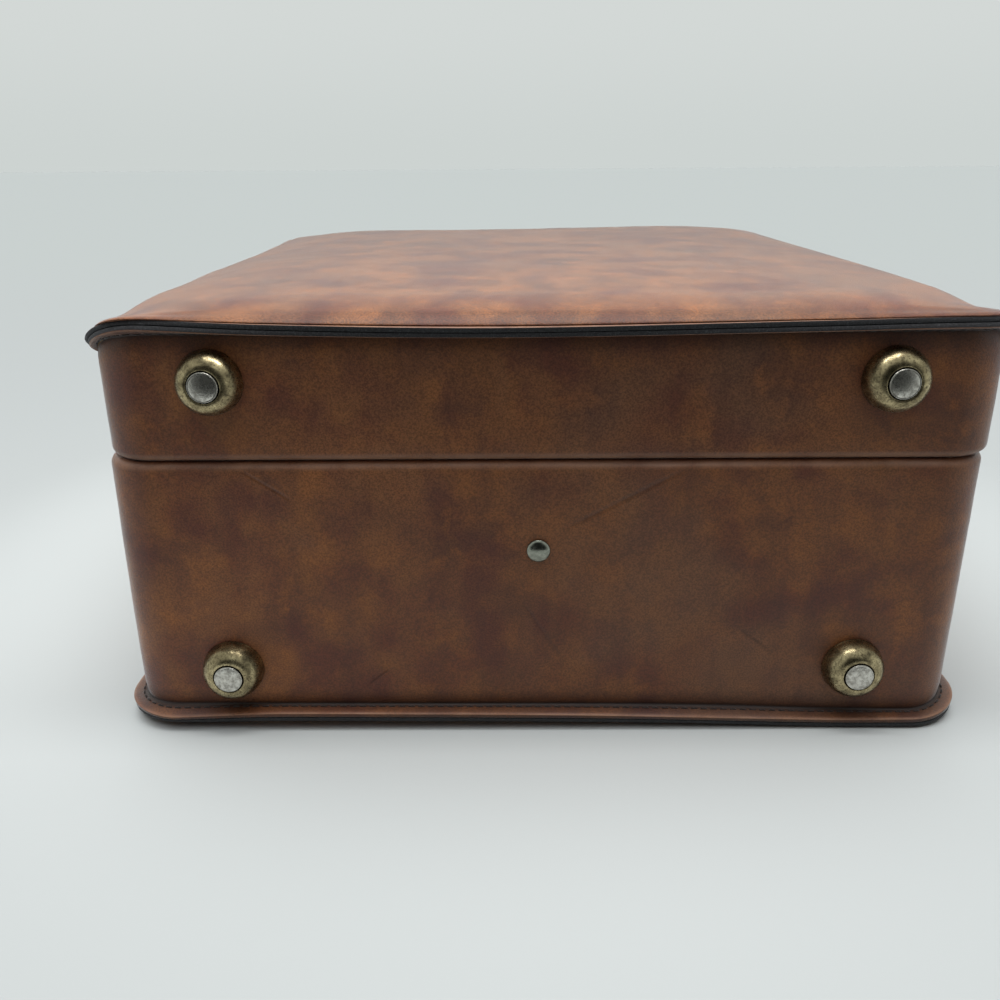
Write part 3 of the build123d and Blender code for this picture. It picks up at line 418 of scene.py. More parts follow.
def plywood(name):
    f = Finish(name)
    rings = f.noise(5, detail=4.0, distortion=1.2, place=f.stretched(y=0.12))
    colour = f.ramp(rings, (0.3, 176, 140, 96), (0.7, 206, 174, 128))
    colour = f.stain(colour, (140, 102, 66), f.wave("X", 60.0, 0.4), 0.6, 0.9, 0.35)
    return f.surface(Base_Color=colour, Roughness=0.7, Normal=f.bump(rings, 0.1))


def foam(name):
    f = Finish(name)
    pores = f.cells(0.9)
    colour = f.ramp(pores, (0.1, 176, 160, 120), (0.6, 222, 210, 172))
    return f.surface(Base_Color=colour, Roughness=0.95, Normal=f.bump(pores, 0.3))


def elastic(name):
    """Ribbed black elastic."""
    f = Finish(name)
    ribs = f.wave("Y", 320.0)
    threads = f.noise(0.4, detail=2.0, place=f.stretched(x=0.35))
    colour = f.ramp(ribs, (0.2, 14, 13, 14), (0.7, 44, 42, 43))
    normal = f.bump(f.plus(ribs, f.times(threads, 0.5)), 0.25)
    return f.surface(Base_Color=colour, Roughness=0.8, Normal=normal, Sheen_Weight=0.2)


def thread(name):
    """Dark sewing thread with its lay and some fuzz."""
    f = Finish(name)
    tone = f.stain(srgb(46, 34, 30), (20, 15, 14), f.noise(0.25, detail=2.0), 0.3, 0.7, 0.5)
    normal = f.bump(f.wave("DIAGONAL", 420.0), 0.08)
    return f.surface(Base_Color=tone, Roughness=0.7, Normal=normal, Sheen_Weight=0.2)


LEATHERETTE = leatherette("leatherette")
BACKING = backing("backing")
BRASS = aged_brass("antique_brass", 4.5, 1.0)
HARDWARE_BRASS = aged_brass("hardware_brass", 2.2, 0.4)
NICKEL = worn_nickel("nickel")
DARK_NICKEL = dark_nickel("dark_nickel")
SPRING_STEEL = spring_steel("spring_steel")
VELOUR = velour("lining")
PLYWOOD = plywood("plywood")
FOAM = foam("foam")
ELASTIC = elastic("elastic")
THREAD = thread("thread")


dressed_nodes = set()


def add_piece(mesh, materials, body, slot, *replaced):
    """Puts a finished mesh in the scene as a piece that rides on a body."""
    for material in materials:
        mesh.materials.append(material)
    piece = add_object(mesh.name, mesh)
    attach(piece, body)
    if replaced:
        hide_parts(*replaced)
        dressed_nodes.update(replaced)
    return piece


def heading(degrees):
    """The unit direction at an angle, in two dimensions."""
    return Vector((cos(radians(degrees)), sin(radians(degrees))))


def stations(reach_x, reach_y, radius):
    """Places round a rounded rectangle, each with its outward direction, from the front right."""
    round_trip = []
    reach = Vector((reach_x - radius, reach_y - radius))
    corners = [Vector(signs) * reach for signs in ((1, -1), (1, 1), (-1, 1), (-1, -1))]
    for turn, (corner, following) in enumerate(zip(corners, corners[1:] + corners[:1])):
        for step in range(CORNER_STEPS + 1):
            outward = heading(90 * turn - 90 + 90 * step / CORNER_STEPS)
            round_trip.append((corner + outward * radius, outward))
        outward = heading(90 * turn)
        start, end = corner + outward * radius, following + outward * radius
        count = END_STEPS if turn % 2 else SIDE_STEPS
        round_trip += [(start.lerp(end, step / count), outward) for step in range(1, count)]
    return round_trip


def wall_loop(offset):
    """Stations at an offset outward from the wall's face, with true round corners."""
    return stations(half_x + offset, half_y + offset, CORNER_RADIUS + offset)


def eased(start, end, at):
    """0 before start, 1 after end, and smooth between them."""
    share = max(0.0, min(1.0, (at - start) / (end - start)))
    return share * share * (3 - 2 * share)


def steps(start, end, count):
    """count + 1 values from start to end."""
    return [start + (end - start) * k / count for k in range(count + 1)]


def track(points, at):
    """A height read along a side from a few given points, in a smooth curve through them."""
    if at <= points[0][0]:
        return points[0][1]
    slopes = [0.0]
    for before, after in zip(points, points[2:]):
        slopes.append((after[1] - before[1]) / (after[0] - before[0]))
    slopes.append(0.0)
    for k, ((start, from_height), (end, to_height)) in enumerate(zip(points, points[1:])):
        if at <= end:
            share = (at - start) / (end - start)
            height = from_height + (to_height - from_height) * eased(start, end, at)
            lean = (1 - share) * slopes[k] - share * slopes[k + 1]
            return height + (end - start) * share * (1 - share) * lean
    return points[-1][1]


# How the sewn welts lie: places in millimetres along the front, heights in millimetres
UPPER_EDGE_FRONT = ((-150, 2.6), (-136, 2.2), (-91, 0.1), (-16, -1.2), (84, 0.4), (140, 1.4))
LOWER_CREASE_FRONT = (
    (-150, 1.2), (-138, 0.9), (-53, 0.4), (21, 0.1), (65, -0.7), (102, -2.1), (135, -2.6)
)
LOWER_EDGE_FRONT = (
    (-150, -0.9), (-136, -1.4), (-104, -0.2), (-53, -0.4), (20, -1.2), (101, -3.2), (135, -3.3)
)

# The upper welt sags round the front hinge-side corner: places in millimetres past its middle
CORNER_DROP = (
    (-22, 0.0), (-6, -1.2), (6, -5.0), (18, -9.0), (32, -11.0), (60, -8.0), (115, -3.2),
    (160, -2.0), (300, -1.6), (340, 0.0),
)
CORNER_EDGE = ((-14, 0.0), (4, -2.6), (16, -3.8), (40, -3.0), (90, 0.0))
CORNER_REACH = ((-22, 1.0), (-4, 0.84), (6, 0.6), (30, 0.66), (80, 1.0))

# It sags less, and further back, past the front latch-side corner
FAR_CORNER_DROP = (
    (-6, 0.0), (3, -3.5), (11, -7.5), (19, -7.5), (28, -5.2), (40, -3.7), (56, -2.8), (76, -1.8),
    (160, -0.8), (320, -0.6), (345, 0.0),
)


def past_corner(face):
    """Millimetres round the wall past the middle of the front hinge-side corner."""
    bend = CORNER_RADIUS * pi / 4
    centre = Vector((CORNER_RADIUS - half_x, CORNER_RADIUS - half_y))
    if face.x > centre.x:
        return (centre.x - face.x - bend) / MM if face.y < 0 else 999.0
    if face.y > centre.y:
        return (face.y - centre.y + bend) / MM
    angle = atan2(centre.x - face.x, centre.y - face.y)
    return (angle - pi / 4) * CORNER_RADIUS / MM


def wander(place, seed, size):
    """A slow wave round the case for the sides that the front's own points don't give."""
    return size * noise.noise(Vector((place.x * WANDER_RATE, place.y * WANDER_RATE, seed)))


def upper_welt(face, outward):
    """The upper welt at a station: its crease's drop, its edge's rise, its share of the reach."""
    front = max(0.0, -outward.y) ** 2
    past = past_corner(face)
    drop = track(CORNER_DROP, past)
    drop += track(FAR_CORNER_DROP, past_corner(Vector((-face.x, face.y))))
    edge = front * track(UPPER_EDGE_FRONT, face.x / MM) + (1 - front) * wander(face, 3.1, 1.5)
    edge += track(CORNER_EDGE, past)
    reach = track(CORNER_REACH, past) * (1 + 0.12 * wander(face, 6.4, 1.0) * (1 - front))
    return drop * MM, edge * MM, reach


def lower_welt(face, outward):
    """The lower welt at a station, as the upper one."""
    front = max(0.0, -outward.y) ** 2
    drop = front * track(LOWER_CREASE_FRONT, face.x / MM) + (1 - front) * wander(face, 5.2, 0.8)
    edge = front * track(LOWER_EDGE_FRONT, face.x / MM)
    edge += (1 - front) * (wander(face, 7.7, 2.0) - 1.2)
    reach = 1 + 0.10 * wander(face, 8.1, 1.0) * (1 - front)
    return drop * MM, (edge - drop) * MM, reach


WALLS = wall_loop(0)


def lip_ring(along, above, middle_z, welt):
    """Points round a lip: along it out of the wall, and above its middle layer, as it tilts."""
    ring = []
    for face, outward in WALLS:
        drop, edge, reach = welt(face, outward)
        lean = asin(max(-0.9, min(0.9, edge / lip_reach)))
        out = along * reach * cos(lean) - above * sin(lean)
        rise = along * reach * sin(lean) + above * cos(lean)
        ring.append((face.x + outward.x * out, face.y + outward.y * out, middle_z + drop + rise))
    return ring


def ripple(place, height, seed, size):
    """Slight unevenness of a stretched cover."""
    at = Vector((place.x * RIPPLE_RATE, place.y * RIPPLE_RATE, height * RIPPLE_RATE_UP + seed))
    return size * noise.noise(at) + 0.4 * size * noise.noise(at * 2.7)


def band(first, second, count):
    """The faces between two rings of points, by the number of each ring's first point."""
    turns = ((k, (k + 1) % count) for k in range(count))
    return [(first + k, first + after, second + after, second + k) for k, after in turns]


def new_mesh(name, verts, faces, smooth, **values):
    """A mesh with its faces turned outward, and values at its points for its material."""
    mesh = bpy.data.meshes.new(name)
    mesh.from_pydata(verts, [], faces)
    for key, numbers in values.items():
        mesh.attributes.new(key, "FLOAT", "POINT").data.foreach_set("value", numbers)
    mesh.polygons.foreach_set("use_smooth", smooth)
    turned = bmesh.new()
    turned.from_mesh(mesh)
    bmesh.ops.recalc_face_normals(turned, faces=turned.faces)
    turned.to_mesh(mesh)
    turned.free()
    return mesh


class Shell:
    """A closed skin made of rings, each with its own wear and painted highlight, painted crease shade
    and material.
    """

    def __init__(self):
        self.rings = []

    def ring(self, points, rub=0.0, crease=0.0, material=0):
        self.rings.append((points, rub, crease, material))

    def build(self, name, ends="joined"):
        """The mesh, with its end rings joined, or filled with flat faces or round a middle point."""
        verts, rubs, crease_shades, faces, kinds = [], [], [], [], []
        count, last = len(self.rings[0][0]), len(self.rings) - 1
        for points, rub, crease, _ in self.rings:
            verts += [tuple(point) for point in points]
            rubs += rub if isinstance(rub, list) else [rub] * count
            crease_shades += crease if isinstance(crease, list) else [crease] * count
        for first in range(last + 1 if ends == "joined" else last):
            second = (first + 1) % (last + 1)
            faces += band(first * count, second * count, count)
            kinds += [self.rings[second][3]] * count
        for end in () if ends == "joined" else (0, last):
            rim = [*range(end * count, (end + 1) * count)]
            if ends == "flat":
                faces.append(tuple(rim))
            else:
                points = self.rings[end][0]
                faces += [(*edge, len(verts)) for edge in zip(rim, rim[1:] + rim[:1])]
                verts.append(tuple(sum((Vector(point) for point in points), Vector()) / count))
                rubs.append(0.0)
                crease_shades.append(0.0)
            kinds += [self.rings[end][3]] * (len(faces) - len(kinds))
        smooth = [len(face) <= 4 for face in faces]
        mesh = new_mesh(name, verts, faces, smooth, rub=rubs, crease=crease_shades)
        mesh.polygons.foreach_set("material_index", kinds)
        return mesh


class Cover(Shell):
    """A leatherette skin that turns out as a lip beside its crease, where it is sewn on the welt."""

    def __init__(self, crease_z, up, welt):
        super().__init__()
        self.up, self.welt = up, welt
        self.middle_z = crease_z - up * WELT_HALF

    def lip(self, along, depth, **look):
        """A ring of the lip: along it from the wall, and depth below its leather face."""
        above = self.up * (WELT_HALF - depth)
        self.ring(lip_ring(along, above, self.middle_z, self.welt), **look)


def side_cover(name, rim, crease_z, welt, seed, wrapped):
    """A wall's leatherette skin: rolled over its rim, tucked in at the crease, turned out as a lip.
    Where wrapped, the lip's cut edge is turned under, so that it shows leatherette."""
    up = 1 if rim > crease_z else -1
    skin = Cover(crease_z, up, welt)
    height = abs(rim - crease_z)

    def ring(offset, rise, **look):
        """A ring of the wall: its offset from the wall's face, and its distance from the crease."""
        fade = max(0.0, 1 - max(0.0, rise) / height) ** 2
        points = []
        for (place, outward), (face, _) in zip(wall_loop(offset), WALLS):
            z = crease_z + up * rise + welt(face, outward)[0] * fade
            swell = 0.0
            if offset > -COVER / 2 and rise > 0:
                swell = ripple(face, z, seed, 0.30 * MM) * min(1.0, rise / (12 * MM))
            points.append((place.x + outward.x * swell, place.y + outward.y * swell, z))
        skin.ring(points, **look)

    cut = 0 if wrapped else 1
    # Crease values add painted shade under the lip and down the tuck; the lip's edge is lighter for
    # rubbed wear and a painted highlight
    skin.lip(lip_reach - 0.1 * MM, LIP_LAYER, material=1)
    skin.lip(lip_reach, LIP_LAYER - 0.15 * MM, crease=0.6, material=cut)
    skin.lip(lip_reach, LIP_SKIN, crease=0.35, material=cut)
    skin.lip(lip_reach - 0.05 * MM, 0.12 * MM, rub=0.9)
    skin.lip(lip_reach - 0.3 * MM, 0.0, rub=0.7)
    skin.lip(lip_reach * 0.72, -0.08 * MM, rub=0.1, crease=0.38)
    skin.lip(lip_reach * 0.45, -0.06 * MM, crease=0.5)
    skin.lip(lip_reach * 0.22, 0.0, crease=0.6)
    skin.lip(0.3 * MM, 0.1 * MM, crease=0.85)
    ring(-WALL_TUCK, 0.05 * MM, crease=1.0)
    ring(-WALL_TUCK * 0.85, 0.6 * MM, crease=0.8)
    for rise in steps(1.4 * MM, TUCK_RISE, 5):
        share = 1 - rise / TUCK_RISE
        ring(-WALL_TUCK * share**2, rise, crease=0.6 * share)
    wall_top = height - RIM_RADIUS
    for rise in steps(TUCK_RISE, wall_top, int((wall_top - TUCK_RISE) / (4 * MM)))[1:]:
        ring(0.0, rise)
    # The rolled rim is lighter half way round, for rubbed wear and a painted highlight
    for degrees in steps(0, 90, 8)[1:]:
        out, rise = heading(degrees) * RIM_RADIUS
        ring(out - RIM_RADIUS, wall_top + rise, rub=0.7 * sin(2 * radians(degrees)))
    inner = -COVER - FRAME_WALL
    ring(inner + 0.3 * MM, height)
    ring(inner, height - 0.3 * MM)
    for offset, rise in (
        (inner, height - COVER), (-RIM_RADIUS, height - COVER), (-COVER, wall_top),
        (-COVER, TUCK_RISE), (-COVER, 0.0), (-COVER, -LIP_LAYER),
    ):
        ring(offset, rise, material=1)
    skin.lip(0.5 * MM, LIP_LAYER, material=1)
    skin.lip(lip_reach * 0.5, LIP_LAYER, material=1)
    return skin.build(name)


class Pillow:
    """The form of a padded face: a broad low crown, and shoulders that bulge over the seam."""

    def __init__(self, foot, crown, board, welt, seed):
        self.foot, self.board, self.welt, self.seed = foot, board, welt, seed
        self.up = 1 if crown > foot else -1
        self.bulge = PILLOW_BULGE_SHARE * abs(crown - foot)
        self.crowned = self.up > 0
        self.full = abs(crown - foot) - PILLOW_SETTLE * self.crowned
        inner = stations(half_x - MM, half_y - MM, CORNER_RADIUS + PILLOW_ROUNDING * MM)
        round_corners = stations(half_x, half_y, PILLOW_CORNER_RADIUS)
        self.stations = [
            (face, outward, (inset - face) / MM, rounder - face)
            for (face, outward), (inset, _), (rounder, _) in zip(WALLS, inner, round_corners)
        ]

    def crown(self, spot, scale):
        """How far the middle of the face stands up: more towards the far latch-side corner."""
        if not self.crowned:
            return 0.0
        fuller = eased(-60 * MM, 110 * MM, spot.x) * eased(20 * MM, 130 * MM, spot.y)
        return PILLOW_CROWN * (1 - scale**4) + PILLOW_FULLER * fuller

    def front(self, outward):
        """How far this is the lid's front, where the shoulder reaches over the welt."""
        return eased(0.6, 1.0, -outward.y) * self.crowned

    def overhang(self, outward):
        """How far the shoulder stands out past the wall's face."""
        return PILLOW_OVERHANG + (PILLOW_OVERHANG_FRONT - PILLOW_OVERHANG) * self.front(outward)

    def shoulder(self, outward, turn, thickness=0.0):
        """Inset and rise on the shoulder, from the crown (0 degrees) to the overhang (90)."""
        side = outward.x**2
        edge = PILLOW_EDGE + (PILLOW_EDGE_SIDES - PILLOW_EDGE) * side
        side_power = PILLOW_POWER_LATCH_SIDE if outward.x > 0 else PILLOW_POWER_HINGE_SIDE
        power = 2 / (PILLOW_POWER + (side_power - PILLOW_POWER) * side)
        across = edge + self.overhang(outward) - thickness
        inset = edge - across * max(0.0, sin(radians(turn))) ** power
        steep = max(0.0, cos(radians(turn))) ** power
        bulge = self.bulge * (1 + 0.9 * max(0.0, outward.x)) * (1 - 0.75 * self.front(outward))
        return inset, bulge + (self.full - thickness - bulge) * steep

    def points(self, turn=None, thickness=0.0, inset=0.0, rise=0.0, scale=1.0, under=None):
        """A ring on the shoulder at a turn, below it at a turn under, or at one inset and rise."""
        ring = []
        for face, outward, inward, rounder in self.stations:
            if turn is not None:
                inset, rise = self.shoulder(outward, turn, thickness)
            elif under is not None:
                inset = -0.1 * MM - (self.overhang(outward) - 0.1 * MM) * cos(under)
                rise = self.shoulder(outward, 90)[1] * (1 - 0.95 * sin(under))
            spot = face + inward * inset if inset > 0 else face - outward * inset
            spot = (spot + rounder * eased(-0.6 * MM, 5 * MM, inset)) * scale
            fade = 1.0 if inset <= 0 else max(0.0, 1 - inset / (PILLOW_EDGE * 0.6)) ** 2
            drop, edge, _ = self.welt(face, outward)
            z = self.foot + self.up * rise + drop * fade + edge * max(0.0, -inset) / lip_reach
            z += self.up * self.crown(spot, scale) * eased(0, PILLOW_EDGE, inset)
            if 2 * MM < inset:
                puff = ripple(spot, 0.0, self.seed, 0.35 * MM)
                z -= self.up * abs(puff) * min(1.0, inset / PILLOW_EDGE)
            if thickness:
                z -= self.up * PILLOW_UNDER
            if self.crowned and inset > 0 and rise > 0:
                z = max(z, self.board + (0.05 * MM if thickness else PILLOW_LEAST))
            ring.append((spot.x, spot.y, z))
        return ring


def padded_face(name, pillow):
    """The cover of a padded face: the pillow's skin, drawn in over the seam, with a lip on the welt."""
    skin = Cover(pillow.foot, pillow.up, pillow.welt)
    for scale in (0.05, 0.14, 0.25, 0.36, 0.47, 0.58, 0.68, 0.77, 0.85, 0.92, 0.97):
        skin.ring(pillow.points(0, scale=scale))
    for turn in range(0, 91, 5):
        skin.ring(pillow.points(turn))
    # Painted shade under the shoulder's overhang and along the seam, less at the front; the lip's edge
    # is lighter for rubbed wear and a painted highlight
    for turn in (25, 50, 75):
        skin.ring(pillow.points(under=radians(turn)), crease=0.2 * turn / 75)
    seam = [0.8 - 0.7 * pillow.front(outward) for _, outward in WALLS]
    skin.lip(0.25 * MM, 0.05 * MM, crease=seam)
    skin.lip(1.0 * MM, 0.0, crease=[0.4 * share for share in seam])
    skin.lip(lip_reach * 0.5, -0.05 * MM)
    skin.lip(lip_reach * 0.8, 0.0, rub=0.2)
    skin.lip(lip_reach - 0.25 * MM, 0.0, rub=0.8)
    skin.lip(lip_reach - 0.05 * MM, 0.12 * MM, rub=0.9)
    for along, depth in (
        (lip_reach, LIP_SKIN), (lip_reach, LIP_LAYER - 0.15 * MM), (lip_reach - 0.1 * MM, LIP_LAYER),
        (lip_reach * 0.5, LIP_LAYER), (0.5 * MM, LIP_LAYER),
    ):
        skin.lip(along, depth, material=1)
    for rise in (-LIP_LAYER, -0.2 * MM):
        skin.ring(pillow.points(inset=COVER, rise=rise), material=1)
    for turn in range(85, 0, -5):
        skin.ring(pillow.points(turn, COVER), material=1)
    for scale in (1.0, 0.6, 0.1):
        skin.ring(pillow.points(0, COVER, scale=scale), material=1)
    return skin.build(name, ends="round")


def foam_pad(name, pillow):
    """The foam under a padded face: it fills the pillow down to its board."""
    pad = Shell()
    up = pillow.up
    gap = COVER + 0.3 * MM
    bottom = [(x, y, pillow.board) for x, y, _ in pillow.points(inset=gap + MM)]
    pad.ring([(x * 0.05, y * 0.05, z) for x, y, z in bottom])
    pad.ring(bottom)
    layers = [pillow.points(turn, gap) for turn in (78, *range(75, -1, -5))]
    layers += [pillow.points(0, gap, scale=scale) for scale in (0.85, 0.6, 0.3, 0.05)]
    for layer, points in enumerate(layers, 1):
        least = up * pillow.board + layer * 0.004 * MM
        pad.ring([(x, y, up * max(up * z, least)) for x, y, z in points])
    return pad.build(name, ends="round")


def welt_strip(name, middle_z, welt):
    """The thin strip sewn between the two lips, set back from their edges."""
    strip = Shell()
    edge = lip_reach - 0.9 * MM
    half = WELT_HALF - LIP_LAYER
    for along, above in ((-COVER, -half), (edge, -half), (edge, half), (-COVER, half)):
        strip.ring(lip_ring(along, above, middle_z, welt))
    return strip.build(name)


# A thread stitch: rows of (share of its length, lift and girth in thread radii)
BEAD_ROWS = (
    (-0.5, -0.6, 0.25), (-0.42, 0.1, 0.8), (-0.2, 0.45, 1.0),
    (0.2, 0.45, 1.0), (0.42, 0.1, 0.8), (0.5, -0.6, 0.25),
)
BEAD_SIDES = 6
SEAM_OFFSET = 0.8 * MM
SEAM_PITCH = 3.6 * MM
STRAP_STITCH_PITCH = 4.2 * MM


def beads(name, places, length=2.7 * MM, radius=0.33 * MM):
    """Thread stitches, each a short bead that dips at both ends: places are (middle, along, up)."""
    verts, faces = [], []
    for centre, along, up in places:
        side_on = along.cross(up)
        for row, (share, lift, girth) in enumerate(BEAD_ROWS):
            if row:
                faces += band(len(verts) - BEAD_SIDES, len(verts), BEAD_SIDES)
            spot = centre + along * (share * length) + up * (lift * radius)
            for side in range(BEAD_SIDES):
                angle = tau * side / BEAD_SIDES
                spoke = side_on * cos(angle) + up * sin(angle)
                verts.append(spot + spoke * (radius * girth))
        last = len(verts) - BEAD_SIDES
        first = last - (len(BEAD_ROWS) - 1) * BEAD_SIDES
        faces.append(tuple(range(first, first + BEAD_SIDES)))
        faces.append(tuple(reversed(range(last, last + BEAD_SIDES))))
    return new_mesh(name, verts, faces, [True] * len(faces))


def stitches(name, middle_z, welt, up):
    """A row of thread stitches beside a welt's crease."""
    line = [Vector(spot) for spot in lip_ring(SEAM_OFFSET, up * WELT_HALF, middle_z, welt)]
    places = []
    left_over = 0.0
    for start, end in zip(line, line[1:] + line[:1]):
        along = (end - start).normalized()
        length = (end - start).length
        at = left_over
        while at < length:
            places.append((start + along * at, along, Vector((0, 0, up))))
            at += SEAM_PITCH
        left_over = at - length
    return beads(name, places)


# The front corners stand a little sideways, as the two halves don't close quite true
BODY_SWAY = -0.4 * MM
LID_SWAY = 0.8 * MM
SWAY_START = -125 * MM
SWAY_END = -165 * MM


def swayed(mesh, amount):
    for vertex in mesh.vertices:
        vertex.co.x += amount * eased(SWAY_START, SWAY_END, vertex.co.y)
    return mesh


def cover_half(half, face, body, sway, side, pillow, middle_z):
    """One half's covers: its wall's, its padded face with the foam, and the welt strip."""
    skins = [LEATHERETTE, BACKING]
    add_piece(swayed(side, sway), skins, body, "leatherette", f"{half}_side_cover")
    name = "lid_face" if half == "lid" else f"{half}_{face}_face"
    cover = swayed(padded_face(name, pillow), sway)
    padded = add_piece(cover, skins, body, "leatherette", f"{half}_{face}_cover")
    pad = swayed(foam_pad(f"{half}_{face}_foam", pillow), sway)
    foamed = add_piece(pad, [FOAM], body, "foam", f"{half}_{face}_pad")
    strip = welt_strip(f"{half}_welt_strip", middle_z, pillow.welt)
    add_piece(swayed(strip, sway), [BACKING], body, "backing", f"{half}_welt")


body_middle = (body_crease + body_lip_foot) / 2
lid_middle = (lid_crease + lid_lip_head) / 2
cover_half(
    "body", "back", "case_body", BODY_SWAY,
    side_cover("body_side_skin", body_rim, body_crease, lower_welt, 1.7, wrapped=True),
    Pillow(body_lip_foot, 0.0, body_crease, lower_welt, 4.4), body_middle,
)
cover_half(
    "lid", "face", "lid", LID_SWAY,
    side_cover("lid_side_skin", lid_rim, lid_crease, upper_welt, 9.3, wrapped=False),
    Pillow(lid_lip_head, lid_top, lid_crease, upper_welt, 6.1), lid_middle,
)
body_seam = stitches("body_seam", body_middle, lower_welt, 1)
add_piece(swayed(body_seam, BODY_SWAY), [THREAD], "case_body", "leatherette")
lid_seam = stitches("lid_seam", lid_middle, upper_welt, -1)
add_piece(swayed(lid_seam, LID_SWAY), [THREAD], "lid", "leatherette")

LATHE_SIDES = 96


def lathe(name, profile, centre):
    """A closed turned form on the foot wall: its profile's points are (radius, distance off the wall,
    painted shade in its crease), in millimetres."""
    form = Shell()
    for radius, out, crease in profile:
        points = []
        for k in range(LATHE_SIDES):
            spoke = heading(360 * k / LATHE_SIDES) * radius * MM
            points.append((centre.x + spoke.x, centre.y - out * MM, centre.z + spoke.y))
        form.ring(points, crease=crease)
    return form.build(name, ends="flat")


def halves(node, axis):
    """The lowest and highest corners of a node's two solids, which lie apart along an axis."""
    points = [vertex.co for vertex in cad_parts[node].data.vertices]
    split = middle(node)[axis]
    boxes = []
    for side in (-1, 1):
        own = [point for point in points if side * (point[axis] - split) > 0]
        boxes.append(tuple(Vector(map(pick, zip(*own))) for pick in (min, max)))
    return boxes


def arc(from_radius, from_out, to_radius, to_out, count):
    """Points on a quarter oval, steep at its start and flat at its end."""
    points = []
    for degrees in steps(0, 90, count):
        across, up = heading(degrees)
        radius = to_radius + (from_radius - to_radius) * across
        points.append((radius, from_out + (to_out - from_out) * up, 0.0))
    return points


# A foot, in millimetres: a brass bell, and a stud whose flat head lies in the bell's mouth
DOME_RADIUS = 10.85
DOME_RIM = 0.8
DOME_SHELL = 0.8
DOME_LAND = 5.6
DOME_SEAT = 1.4
MOUTH_DEPTH = 0.7
GROOVE = 0.35
STUD_HEAD = 5.0
STUD_FLAT = 4.6
STUD_SHANK = 2.0
STUD_CROWN = 0.5
SHANK_END = -9.0
dome_height = (-half_y - low("body_foot_domes").y) / MM
stud_edge = (-half_y - low("body_foot_studs").y) / MM - STUD_CROWN
mouth = STUD_HEAD + GROOVE
dome_profile = [
    (STUD_SHANK, dome_height - DOME_SEAT, 0.0),
    (STUD_SHANK, dome_height - MOUTH_DEPTH, 1.0),
    (mouth, dome_height - MOUTH_DEPTH, 1.0),
    (mouth, dome_height - 0.35, 0.7),
    (mouth + 0.06, dome_height - 0.12, 0.0),
    *arc(DOME_RADIUS, DOME_RIM, DOME_LAND, dome_height, 22)[::-1],
    (DOME_RADIUS + 0.12, 0.55, 0.2),
    (DOME_RADIUS + 0.08, 0.2, 0.8),
    (DOME_RADIUS - 0.15, 0.0, 1.0),
    (DOME_RADIUS - DOME_SHELL, 0.0, 1.0),
    *arc(DOME_RADIUS - DOME_SHELL, DOME_RIM, STUD_SHANK, dome_height - DOME_SEAT, 8),
]
stud_profile = [
    *[
        (max(0.05, STUD_FLAT * share), stud_edge + STUD_CROWN * (1 - share**2), 0.0)
        for share in (0.0, 0.2, 0.4, 0.6, 0.8, 0.95)
    ],
    (STUD_FLAT, stud_edge - 0.03, 0.35),
    (STUD_FLAT + 0.08, stud_edge + 0.02, 0.0),
    (STUD_FLAT + 0.22, stud_edge, 0.0),
    (STUD_FLAT + 0.34, stud_edge - 0.1, 0.0),
    (STUD_HEAD, stud_edge - 0.25, 0.3),
    (STUD_HEAD, dome_height - 0.3, 1.0),
    (STUD_HEAD - 0.1, dome_height - 0.6, 1.0),
    (STUD_SHANK - 0.02, dome_height - 0.6, 1.0),
    (STUD_SHANK - 0.02, SHANK_END, 0.0),
]
for half, body in (("body", "case_body"), ("lid", "lid")):
    for side, (lowest, highest) in zip(("left", "right"), halves(f"{half}_foot_domes", 0)):
        centre = (lowest + highest) / 2
        centre.y = -half_y
        for part, profile, material, slot in (
            ("dome", dome_profile, BRASS, "antique_brass"), ("stud", stud_profile, NICKEL, "nickel")
        ):
            turned = lathe(f"{half}_foot_{part}_{side}", profile, centre)
            add_piece(turned, [material], body, slot, f"{half}_foot_{part}s")

# The small rivet in the middle of the foot wall, in millimetres
RIVET_EDGE = 0.35
RIVET_SHANK = 1.1
RIVET_SUNK = -0.15
rivet_low, rivet_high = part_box("divider_rivet")
rivet_head = (rivet_high.x - rivet_low.x) / 2 / MM
rivet_rise = (-half_y - rivet_low.y) / MM
rivet_profile = []
for degrees in steps(4, 90, 12):
    up, across = heading(degrees)
    out = RIVET_EDGE + (rivet_rise - RIVET_EDGE) * up
    rivet_profile.append((rivet_head * across, out, 0.0))
rivet_profile += [
    (rivet_head, 0.1, 0.8),
    (rivet_head - 0.2, RIVET_SUNK, 1.0),
    (RIVET_SHANK, RIVET_SUNK, 1.0),
    (RIVET_SHANK, SHANK_END, 0.0),
]
rivet_centre = (rivet_low + rivet_high) / 2
rivet_centre.y = -half_y
rivet = lathe("divider_rivet_head", rivet_profile, rivet_centre)
add_piece(rivet, [DARK_NICKEL], "case_body", "nickel", "divider_rivet")

# Linings, glued inside the frames
LINING = 1.0 * MM
LINING_INSET = COVER + FRAME_WALL


def lining_loop(depth):
    """Stations on the inside of the wall's frame, at a depth into the room."""
    inset = LINING_INSET + depth
    return stations(half_x - inset, half_y - inset, CORNER_RADIUS - inset)


def level_ring(loop, z, scale=1.0):
    return [(place.x * scale, place.y * scale, z) for place, _ in loop]


